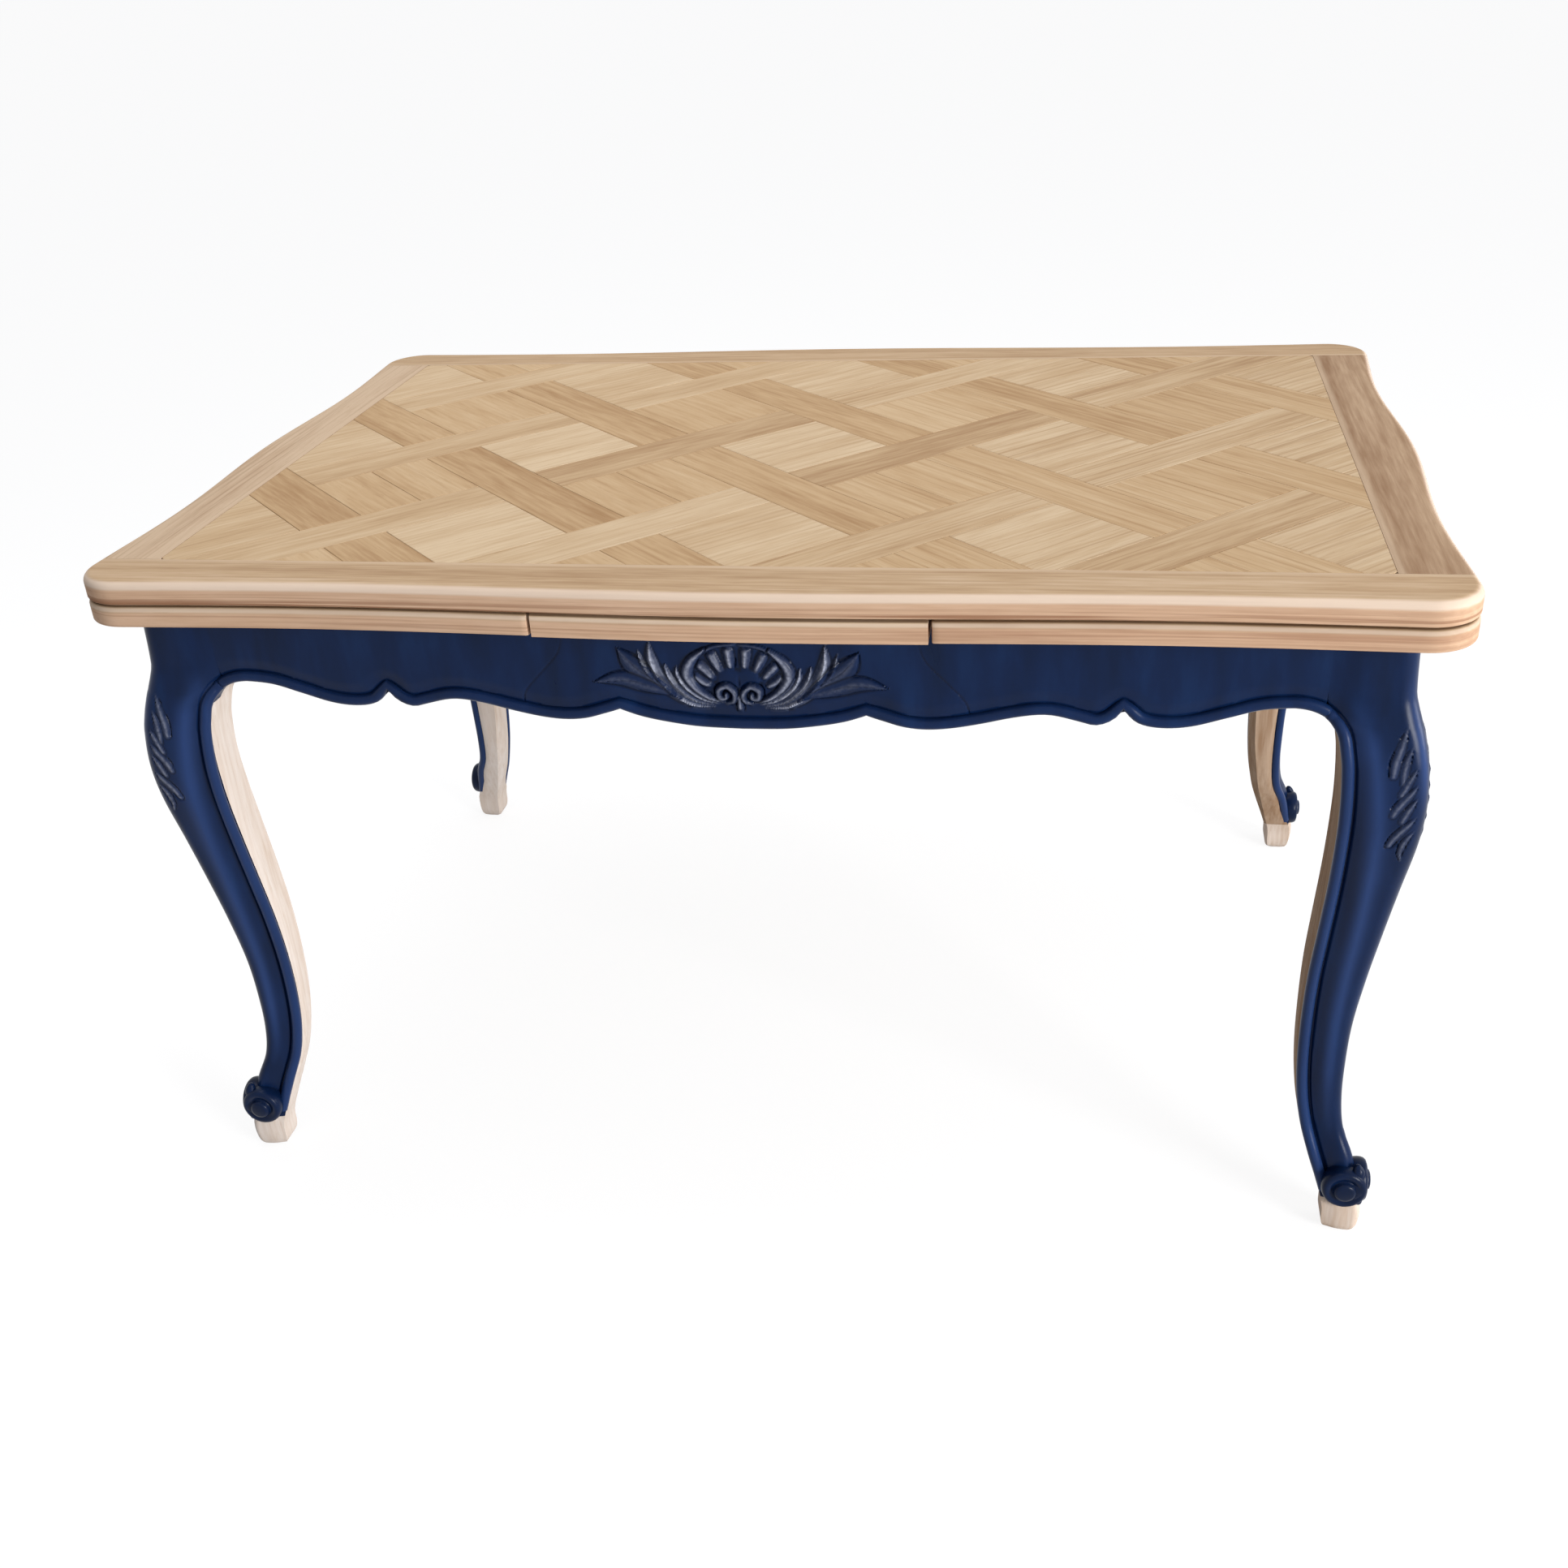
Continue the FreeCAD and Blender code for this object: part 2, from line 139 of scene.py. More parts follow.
# Height, outer face, inner face and inner corner's cut of a leg, as shares
leg_curve_shares = [
    (0.000, 0.110, -0.110, 0.020),
    (0.007, 0.180, -0.180, 0.030),
    (0.021, 0.215, -0.215, 0.040),
    (0.050, 0.222, -0.226, 0.040),
    (0.090, 0.165, -0.318, 0.050),
    (0.135, 0.085, -0.440, 0.080),
    (0.176, -0.040, -0.540, 0.100),
    (0.225, -0.092, -0.612, 0.110),
    (0.288, -0.102, -0.655, 0.090),
    (0.365, -0.082, -0.668, 0.080),
    (0.451, -0.010, -0.660, 0.080),
    (0.535, 0.080, -0.624, 0.080),
    (0.619, 0.178, -0.590, 0.110),
    (0.703, 0.282, -0.578, 0.190),
    (0.760, 0.312, -0.582, 0.240),
    (0.816, 0.285, -0.606, 0.250),
    (0.844, 0.245, -0.640, 0.240),
    (0.860, 0.214, -0.667, 0.200),
    (0.872, 0.190, -0.735, 0.160),
    (0.882, 0.167, -0.830, 0.100),
    (0.898, 0.128, -0.890, 0.060),
    (0.916, 0.095, -0.900, 0.050),
    (1.000, 0.070, -0.900, 0.050),
]

# Lower edge of an apron from the leg to the middle, in three runs that meet in points
apron_edge_shares = [
    [(1.000, 0.738), (0.988, 0.704), (0.970, 0.676), (0.950, 0.666), (0.897, 0.690), (0.844, 0.767),
     (0.782, 0.857), (0.732, 0.878), (0.693, 0.838), (0.669, 0.735)],
    [(0.669, 0.735), (0.650, 0.823), (0.623, 0.870), (0.595, 0.840), (0.554, 0.793),
     (0.525, 0.788), (0.480, 0.823), (0.426, 0.887), (0.373, 0.938), (0.329, 0.956),
     (0.290, 0.938), (0.254, 0.887), (0.225, 0.842)],
    [(0.225, 0.842), (0.187, 0.904), (0.142, 0.949), (0.080, 0.988), (0.000, 1.000)],
]


def linear(colour):
    """Linear colour of an sRGB hex value."""
    parts = [int(colour[i:i + 2], 16) / 255 for i in (1, 3, 5)]
    return [c / 12.92 if c <= 0.04045 else ((c + 0.055) / 1.055) ** 2.4 for c in parts] + [1.0]


def add_node(tree, kind, inputs=None, stops=None, **settings):
    """One node with its settings; an input is a value or the socket that feeds it.

    Stops are the (place, hex colour) pairs of a colour ramp, in rising order.
    """
    made = tree.nodes.new(kind)
    for key, value in settings.items():
        setattr(made, key, value)
    for key, value in (inputs or {}).items():
        if isinstance(value, bpy.types.NodeSocket):
            tree.links.new(value, made.inputs[key])
        else:
            made.inputs[key].default_value = value
    for count, (place, colour) in enumerate(stops or []):
        ramp = made.color_ramp.elements
        if count >= len(ramp):
            ramp.new(place)
        ramp[count].position = place
        ramp[count].color = linear(colour)
    return made


def new_material(name):
    """Material with its node tree and its shader."""
    material = bpy.data.materials.new(name)
    material.use_nodes = True
    return material, material.node_tree, material.node_tree.nodes["Principled BSDF"]


# Heights on the boards' edges, as shares of the way from just below the leaves to the top's face:
# where the edge is redder, where the arris is rubbed pale and carries a painted highlight, where painted
# shade darkens the gap between the boards, and where stains gather beside it
edge_below = 4.0
edge_low = leaf_low - edge_below
edge_stops = [(0.060, "#FFFFFF"), (0.350, "#FFFFFF"), (0.410, "#000000"), (0.530, "#000000"),
              (0.545, "#FFFFFF"), (0.820, "#FFFFFF"), (0.890, "#000000")]
rubbed_and_highlight_stops = [(0.375, "#000000"), (0.410, "#D0D0D0"), (0.455, "#D0D0D0"), (0.475, "#000000"),
                (0.825, "#000000"), (0.875, "#FFFFFF"), (0.970, "#FFFFFF"), (0.998, "#000000")]
gap_stops = [(0.468, "#000000"), (0.490, "#FFFFFF"), (0.542, "#FFFFFF"), (0.556, "#000000")]
stain_stops = [(0.060, "#707070"), (0.270, "#B0B0B0"), (0.350, "#909090"), (0.410, "#000000"),
               (0.540, "#000000"), (0.556, "#FFFFFF"), (0.680, "#B0B0B0"), (0.840, "#000000")]


# How far from its joint with the parquet a border is fully pale, and where that ends
joint_pale = 4.0
joint_pale_ends = 9.0


def bare_oak(name, pale, middle, dark, turn, roughness, rim=None):
    """Sanded bare oak: soft mottled streaks along the grain, thin growth lines and short open pores.

    The growth lines and pores are drawn two to three times as coarse as real ones, so that they show.
    A rim is (axis, place in mm) of a board's joint with the parquet: the board is paler beside it, pale
    from rubbing and a painted highlight on its arris, darker from painted shade in the gap between leaf
    and top, and stained in streaks on its outer edge.
    """
    material, tree, shader = new_material(name)
    place = add_node(tree, "ShaderNodeTexCoord").outputs["Object"]
    shift = add_node(tree, "ShaderNodeAttribute", attribute_name="piece_shift").outputs["Vector"]
    tone = add_node(tree, "ShaderNodeAttribute", attribute_name="piece_tone").outputs["Fac"]
    lively = add_node(tree, "ShaderNodeAttribute", attribute_name="piece_streak").outputs["Fac"]
    moved = add_node(tree, "ShaderNodeVectorMath", {0: place, 1: shift}, operation="ADD").outputs[0]
    turned = add_node(tree, "ShaderNodeMapping", {"Vector": moved, "Rotation": turn}).outputs[0]

    def streaks(long_mm, wide_mm, detail):
        scale = (1 / (long_mm * MM), 1 / (wide_mm * MM), 1 / (wide_mm * MM))
        stretched = add_node(tree, "ShaderNodeMapping", {"Vector": turned, "Scale": scale}).outputs[0]
        return add_node(tree, "ShaderNodeTexNoise",
                        {"Vector": stretched, "Scale": 1.0, "Detail": detail}).outputs["Fac"]

    slow = streaks(320.0, 40.0, 2.0)
    bands = streaks(600.0, 12.0, 3.0)
    growth = streaks(420.0, 4.0, 2.0)
    pores = streaks(24.0, 1.6, 2.0)
    grain = streaks(60.0, 5.0, 4.0)
    level = add_node(tree, "ShaderNodeMapRange", {0: slow, 1: 0.3, 2: 0.7, 3: 0.36, 4: 0.64}).outputs[0]
    swing = add_node(tree, "ShaderNodeMapRange", {0: lively, 3: 0.05, 4: 0.13}).outputs[0]
    sweep = add_node(tree, "ShaderNodeMapRange", {0: bands, 1: 0.3, 2: 0.7, 3: -1.0, 4: 1.0}).outputs[0]
    sweep = add_node(tree, "ShaderNodeMath", {0: sweep, 1: swing}, operation="MULTIPLY").outputs[0]
    mottle = add_node(tree, "ShaderNodeMapRange", {0: grain, 1: 0.3, 2: 0.7, 3: -0.13, 4: 0.13}).outputs[0]
    for part in (tone, sweep, mottle):
        level = add_node(tree, "ShaderNodeMath", {0: level, 1: part}, operation="ADD").outputs[0]
    colour = add_node(tree, "ShaderNodeValToRGB", {"Fac": level},
                      [(0.10, dark), (0.50, middle), (0.88, pale)]).outputs["Color"]
    strength = add_node(tree, "ShaderNodeMapRange", {0: lively, 3: 0.16, 4: 0.46}).outputs[0]
    thin = add_node(tree, "ShaderNodeMapRange", {0: growth, 1: 0.47, 2: 0.34, 3: 0.0, 4: 1.0}).outputs[0]
    lines = add_node(tree, "ShaderNodeMath", {0: thin, 1: strength}, operation="MULTIPLY").outputs[0]
    holes = add_node(tree, "ShaderNodeMapRange", {0: pores, 1: 0.37, 2: 0.28, 3: 0.0, 4: 0.30}).outputs[0]
    tints = [(lines, dark), (holes, dark)]
    if rim:
        axis, joint = rim
        parts = add_node(tree, "ShaderNodeSeparateXYZ", {0: place}).outputs
        away = add_node(tree, "ShaderNodeMath", {0: parts[axis]}, operation="ABSOLUTE").outputs[0]
        beside = add_node(tree, "ShaderNodeMapRange",
                          {0: away, 1: (joint + joint_pale_ends) * MM, 2: (joint + joint_pale) * MM,
                           3: 0.0, 4: 0.55}).outputs[0]
        tints.append((beside, pale))
        height = add_node(tree, "ShaderNodeMapRange",
                          {0: parts["Z"], 1: edge_low * MM, 2: table_height * MM}).outputs[0]
        facing = add_node(tree, "ShaderNodeNewGeometry").outputs["True Normal"]
        facing = add_node(tree, "ShaderNodeSeparateXYZ", {0: facing}).outputs["Z"]
        facing = add_node(tree, "ShaderNodeMath", {0: facing}, operation="ABSOLUTE").outputs[0]
        upright = add_node(tree, "ShaderNodeMapRange", {0: facing, 1: 0.999, 2: 0.985}).outputs[0]
        # Redder edges, arrises pale from rubbing and a painted highlight, and painted shade in the gap
        for stops, share, tint in ((edge_stops, 0.42, edge_oak), (rubbed_and_highlight_stops, 0.75, rubbed_and_highlight_oak),
                                   (gap_stops, 0.80, gap_shade)):
            band = add_node(tree, "ShaderNodeValToRGB", {"Fac": height}, stops).outputs["Color"]
            band = add_node(tree, "ShaderNodeMath", {0: band, 1: share}, operation="MULTIPLY").outputs[0]
            band = add_node(tree, "ShaderNodeMath", {0: band, 1: upright}, operation="MULTIPLY").outputs[0]
            tints.append((band, tint))
        low = add_node(tree, "ShaderNodeValToRGB", {"Fac": height}, stain_stops).outputs["Color"]
        level_grain = (1 / (420 * MM), 0.0, 1 / (3.2 * MM))
        drawn = add_node(tree, "ShaderNodeMapping", {"Vector": turned, "Scale": level_grain}).outputs[0]
        drawn = add_node(tree, "ShaderNodeTexNoise",
                         {"Vector": drawn, "Scale": 1.0, "Detail": 3.0}).outputs["Fac"]
        patch = add_node(tree, "ShaderNodeMapRange", {0: drawn, 1: 0.54, 2: 0.42, 3: 0.0, 4: 0.88}).outputs[0]
        stain = add_node(tree, "ShaderNodeMath", {0: low, 1: patch}, operation="MULTIPLY").outputs[0]
        tints.append((stain, stained_oak))
    for mask, tint in tints:
        colour = add_node(tree, "ShaderNodeMix", {0: mask, 6: colour, 7: linear(tint)},
                          data_type="RGBA").outputs[2]
    tree.links.new(colour, shader.inputs["Base Color"])
    rough = add_node(tree, "ShaderNodeMapRange",
                     {0: bands, 3: roughness - 0.08, 4: roughness + 0.1}).outputs[0]
    tree.links.new(rough, shader.inputs["Roughness"])
    relief = add_node(tree, "ShaderNodeMath", {0: growth, 1: pores}, operation="ADD").outputs[0]
    bump = add_node(tree, "ShaderNodeBump", {"Strength": 0.16, "Distance": 0.4 * MM, "Height": relief})
    tree.links.new(bump.outputs[0], shader.inputs["Normal"])
    shader.inputs["IOR"].default_value = 1.48
    shader.inputs["Specular IOR Level"].default_value = 0.03
    return material


def navy_paint(name):
    """Satin navy paint brushed over oak: faint brush marks, and a painted sheen on swells and beads.

    The carving has greyish ridges lightened by rubbing and by painted highlight, and painted shade in its
    recesses and cuts; the feet are darkened all over by painted shade.
    """
    material, tree, shader = new_material(name)
    place = add_node(tree, "ShaderNodeTexCoord").outputs["Object"]
    brush = add_node(tree, "ShaderNodeMapping",
                     {"Vector": place, "Scale": (1 / (30 * MM), 1 / (30 * MM), 1 / (110 * MM))}).outputs[0]
    strokes = add_node(tree, "ShaderNodeTexNoise",
                       {"Vector": brush, "Scale": 1.0, "Detail": 5.0}).outputs["Fac"]
    fine = add_node(tree, "ShaderNodeTexNoise",
                    {"Vector": place, "Scale": 1 / (4 * MM), "Detail": 3.0}).outputs["Fac"]
    colour = add_node(tree, "ShaderNodeValToRGB", {"Fac": strokes},
                      [(0.30, "#091A37"), (0.52, "#0B1F42"), (0.75, "#10284E")]).outputs["Color"]
    # Painted sheen on swells and beads, ridges lightened by wear and painted highlight, and painted shade in
    # recesses, cuts and on the feet
    painted_sheen = add_node(tree, "ShaderNodeAttribute", attribute_name="painted_sheen").outputs["Fac"]
    wear_and_highlight = add_node(tree, "ShaderNodeAttribute", attribute_name="wear_and_highlight").outputs["Fac"]
    patch = add_node(tree, "ShaderNodeMapRange", {0: fine, 1: 0.34, 2: 0.60, 3: 0.45, 4: 1.0}).outputs[0]
    rubbed_and_highlit = add_node(tree, "ShaderNodeMath", {0: wear_and_highlight, 1: patch}, operation="MULTIPLY").outputs[0]
    cut = add_node(tree, "ShaderNodeAttribute", attribute_name="cut").outputs["Fac"]
    for mask, tint in ((painted_sheen, "#365088"), (rubbed_and_highlit, "#BCC1D2"), (cut, "#050A18")):
        colour = add_node(tree, "ShaderNodeMix", {0: mask, 6: colour, 7: linear(tint)},
                          data_type="RGBA").outputs[2]
    tree.links.new(colour, shader.inputs["Base Color"])
    rough = add_node(tree, "ShaderNodeMapRange", {0: strokes, 3: 0.24, 4: 0.36}).outputs[0]
    tree.links.new(rough, shader.inputs["Roughness"])
    bump = add_node(tree, "ShaderNodeBump", {"Strength": 0.10, "Distance": 0.4 * MM, "Height": fine})
    tree.links.new(bump.outputs[0], shader.inputs["Normal"])
    shader.inputs["IOR"].default_value = 1.5
    shader.inputs["Specular IOR Level"].default_value = 0.12
    return material


def zinc_steel(name):
    """Zinc plated steel: grey metal with a slightly uneven shine."""
    material, tree, shader = new_material(name)
    place = add_node(tree, "ShaderNodeTexCoord").outputs["Object"]
    spots = add_node(tree, "ShaderNodeTexNoise",
                     {"Vector": place, "Scale": 1 / (2 * MM), "Detail": 4.0}).outputs["Fac"]
    plating = add_node(tree, "ShaderNodeValToRGB", {"Fac": spots}, [(0.3, "#8E8F90"), (0.7, "#B4B5B6")])
    tree.links.new(plating.outputs["Color"], shader.inputs["Base Color"])
    rough = add_node(tree, "ShaderNodeMapRange", {0: spots, 3: 0.28, 4: 0.5}).outputs[0]
    tree.links.new(rough, shader.inputs["Roughness"])
    shader.inputs["Metallic"].default_value = 1.0
    return material


along_x = (0.0, 0.0, 0.0)
along_y = (0.0, 0.0, math.radians(-90))
along_z = (0.0, math.radians(90), 0.0)
along_rising = (0.0, 0.0, math.radians(-45))
along_falling = (0.0, 0.0, math.radians(45))
rubbed_and_highlight_oak = "#E6D2C0"
edge_oak = "#DDB39A"
stained_oak = "#86583C"
gap_shade = "#4A3222"
paint = navy_paint("navy_satin_paint")
border_x = bare_oak("border_oak_lengthwise", "#D6BDA0", "#C3A685", "#A38261", along_x, 0.6, ("Y", field_y))
border_y = bare_oak("border_oak_crosswise", "#D1B89C", "#BDA083", "#98785C", along_y, 0.6, ("X", field_x))
rising_oak = bare_oak("parquet_oak_rising", "#DAC2A1", "#C7AA86", "#A5825F", along_rising, 0.6)
falling_oak = bare_oak("parquet_oak_falling", "#D5BA96", "#C6A781", "#A5815C", along_falling, 0.6)
leg_oak = bare_oak("leg_oak", "#EDE3DB", "#E0D1C4", "#C2A78E", along_z, 0.66)
# Browner copy of the leg oak: painted shade on the bare faces of the right legs above their pads
painted_shade_leg_oak = bare_oak("leg_oak_painted_shade", "#C4AF9B", "#B39A83", "#8E6E52", along_z, 0.66)
carcass_x = bare_oak("carcass_oak_lengthwise", "#CDB08A", "#B7976F", "#8E6F4E", along_x, 0.7)
carcass_y = bare_oak("carcass_oak_crosswise", "#CDB08A", "#B7976F", "#8E6F4E", along_y, 0.7)
peg_oak = bare_oak("peg_oak", "#B5946C", "#9C7B55", "#6A5138", along_z, 0.6)
steel = zinc_steel("zinc_plated_steel")


def add_object(name, data):
    """New object in the scene."""
    made = bpy.data.objects.new(name, data)
    bpy.context.scene.collection.objects.link(made)
    return made


def ring_quads(rings, count, start=0, turned=False):
    """Quads between closed rings of points that follow each other."""
    quads = []
    for k in range(rings - 1):
        a, b = start + k * count, start + (k + 1) * count
        for i in range(count):
            j = (i + 1) % count
            quads.append([a + i, b + i, b + j, a + j] if turned else [a + i, a + j, b + j, b + i])
    return quads


def inward_steps(line, least_mitre):
    """How each point of a closed outline moves for one step inwards."""
    ahead = np.roll(line, -1, axis=0) - line
    ahead /= np.maximum(np.linalg.norm(ahead, axis=1), 1e-9)[:, None]
    normals = np.stack([-ahead[:, 1], ahead[:, 0]], axis=1)
    before = np.roll(normals, 1, axis=0)
    return (normals + before) / np.maximum(1 + (normals * before).sum(1), least_mitre)[:, None]


def make_piece(name, points, faces, materials, marks=None, sharp=35.0):
    """Mesh object from points in millimetres, faces and the material number of each face."""
    mesh = bpy.data.meshes.new(name)
    mesh.from_pydata([[c * MM for c in p] for p in points], [], faces)
    for material in materials:
        mesh.materials.append(material)
    if marks is not None:
        mesh.polygons.foreach_set("material_index", marks)
    mesh.polygons.foreach_set("use_smooth", [True] * len(mesh.polygons))
    mesh.set_sharp_from_angle(angle=math.radians(sharp))
    mesh.update()
    return add_object(name, mesh)


def give_floats(piece, name, domain, values):
    """Store one number per point or per face."""
    layer = piece.data.attributes.new(name, "FLOAT", domain)
    layer.data.foreach_set("value", [float(v) for v in values])


def settle(piece, body, slot, *nodes):
    """Let a piece ride on its body in place of the solids that it stands for."""
    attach(piece, body)
    if nodes:
        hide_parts(*nodes)


def smooth_through(rows, place):
    """Values at a place of a table, on smooth curves through its rows."""
    if place <= rows[0][0]:
        return list(rows[0][1:])
    for k in range(len(rows) - 1):
        if place <= rows[k + 1][0]:
            break
    else:
        return list(rows[-1][1:])
    a, b = rows[k], rows[k + 1]
    before, after = rows[max(k - 1, 0)], rows[min(k + 2, len(rows) - 1)]
    span = b[0] - a[0]
    t = (place - a[0]) / span
    found = []
    for c in range(1, len(a)):
        rise_a = (b[c] - before[c]) / (b[0] - before[0]) * span
        rise_b = (after[c] - a[c]) / (after[0] - a[0]) * span
        found.append((2 * t ** 3 - 3 * t ** 2 + 1) * a[c] + (t ** 3 - 2 * t ** 2 + t) * rise_a
                     + (3 * t ** 2 - 2 * t ** 3) * b[c] + (t ** 3 - t ** 2) * rise_b)
    return found


def leg_faces_at(z):
    """Outer face, inner face and inner cut of a leg at a height, about the foot's middle."""
    return [share * leg_width for share in smooth_through(leg_curve_shares, z / frame_top)]


def apron_edge(half, steps):
    """Lower edge of an apron as points from the middle to its end."""
    line = []
    for run in reversed(apron_edge_shares):
        rows = [(x, drop) for x, drop in reversed(run)]
        for i in range(steps):
            x = rows[0][0] + (rows[-1][0] - rows[0][0]) * i / steps
            line.append((x * half, frame_top - smooth_through(rows, x)[0] * apron_depth))
    line.append((half, frame_top - apron_edge_shares[0][0][1] * apron_depth))
    return line


# Steps along the moulded edge: on each run of an apron, down a leg from just below the joint, and on the
# bend between them, with the rounds that even it out
apron_run_steps = 40
leg_edge_steps = 190
leg_edge_start = 2.0
bend_steps = 41
bend_rounds = 24


def moulded_edge(half):
    """Edge that the bead follows on one half: apron from its middle, then the leg down to its foot.

    The bend where the apron meets the leg is evened out.
    """
    line = apron_edge(half, apron_run_steps)
    joint = len(line) - 1
    for z in np.linspace(line[-1][1] - leg_edge_start, bead_low, leg_edge_steps):
        line.append((half + leg_shoulder + leg_faces_at(z)[1], z))
    line = np.array(line)
    run = np.concatenate([[0.0], np.cumsum(np.linalg.norm(np.diff(line, axis=0), axis=1))])
    places = run[joint] + np.linspace(-joint_reach, joint_reach, bend_steps)
    eased = np.stack([np.interp(places, run, line[:, c]) for c in (0, 1)], axis=1)
    for _ in range(bend_rounds):
        eased[1:-1] = (eased[:-2] + 2 * eased[1:-1] + eased[2:]) / 4
    return np.vstack([line[run < places[0]], eased, line[run > places[-1]]])


def distance_to(line, points):
    """Distance of each point to a line of points in the same plane."""
    starts, steps = line[:-1], line[1:] - line[:-1]
    lengths = (steps ** 2).sum(1)
    nearest = np.full(len(points), 1e9)
    for start, step, length in zip(starts, steps, lengths):
        share = np.clip(((points - start) @ step) / max(length, 1e-9), 0, 1)
        nearest = np.minimum(nearest, np.linalg.norm(points - start - share[:, None] * step, axis=1))
    return nearest


def groove_depth(distance, heights):
    """How far a face lies back near its moulded edge: a rolled shoulder, then a groove under the bead.

    The shoulder is broader and deeper on a leg, below the joint.
    """
    leg_share = np.clip((joint_coat - heights) / roll_change, 0, 1)
    width = shoulder_roll + (leg_roll - shoulder_roll) * leg_share
    drop = shoulder_drop + (leg_drop - shoulder_drop) * leg_share
    roll = np.clip((2 * bead_radius + width - distance) / width, 0, 1)
    step = np.clip((2 * bead_radius + groove_width - distance) / groove_width, 0, 1)
    return roll * roll * (3 - 2 * roll) * drop + step * rebate_depth


# Carved strokes: steps along one, its least half width, how far it reaches in half widths, the share of
# its length over which it rises, the place and breadth of the moat round it in half widths, how much of
# that is cut into a higher neighbour, how dark the painted shade in moats and cuts is, and the wear and
# painted highlight of ridges and backs
stroke_steps = 49
least_stroke = 0.4
stroke_reach = 1.6
root_share = 0.22
root_power = 0.7
moat_place = 1.14
moat_breadth = 0.17
crossed_moat = 0.6
moat_shade = 0.8
cut_shade = 0.6
ridge_slope = 1.9
back_wear_and_highlight = 0.10
shell_moat = 0.4
knee_moat = 1.3


def carve(points, strokes, moat_share):
    """Height of carved strokes at points of a face, how much rubbing and painted highlight each point gets,
    and how strongly painted shade darkens it in a moat or a cut.

    A stroke is (middle line, rise, crest, share of rubbing and painted highlight). Its line has (across,
    height, half width) at each of its points. A crest of 0.5 gives a round back, and 1 a sharp ridge. A moat
    is cut round each stroke.
    """
    height = np.zeros(len(points))
    ridge = np.zeros(len(points))
    painted_recess_shade = np.zeros(len(points))
    for line, rise, crest, wear_and_highlight_level in strokes:
        rows = [(k / (len(line) - 1), *place) for k, place in enumerate(line)]
        t = np.linspace(0, 1, stroke_steps)
        path = np.array([smooth_through(rows, place) for place in t])
        middle, width = path[:, :2], np.maximum(path[:, 2], least_stroke)
        reach = stroke_reach * width.max()
        near = ((points > middle.min(0) - reach) & (points < middle.max(0) + reach)).all(1).nonzero()[0]
        if not len(near):
            continue
        gaps = np.linalg.norm(points[near][:, None, :] - middle[None], axis=2)
        station = (gaps / width[None]).argmin(1)
        across = gaps[np.arange(len(near)), station] / width[station]
        fade = np.clip(t[station] / root_share, 0, 1) ** root_power
        back = np.clip(1 - across ** (1.5 / crest - 1), 0, 1) ** crest
        hump = rise * fade * back
        held = height[near]
        if rise < 0:
            height[near] = held + hump
            # A cut line is darkened by painted shade
            painted_recess_shade[near] = np.maximum(painted_recess_shade[near], cut_shade * back * fade)
            continue
        # A moat is cut round the stroke and darkened by painted shade; its ridge and back get wear and
        # painted highlight
        ring = np.exp(-((across - moat_place) / moat_breadth) ** 2) * fade
        moat = np.where(held > hump, crossed_moat, 1.0) * moat_share * rise * ring
        height[near] = np.maximum(hump, held) - moat
        painted_recess_shade[near] = np.maximum(painted_recess_shade[near] * (across > 1), moat_shade * ring)
        wear_and_highlight = (np.clip(1.0 - ridge_slope * across, 0, 1) + back_wear_and_highlight * (across < 1)) * fade * wear_and_highlight_level
        ridge[near] = np.maximum(ridge[near] * (across > 1), wear_and_highlight)
    return height, ridge, painted_recess_shade


def both_sides(strokes):
    """Strokes and their mirror images."""
    return strokes + [([(-x, z, width) for x, z, width in line], *form) for line, *form in strokes]


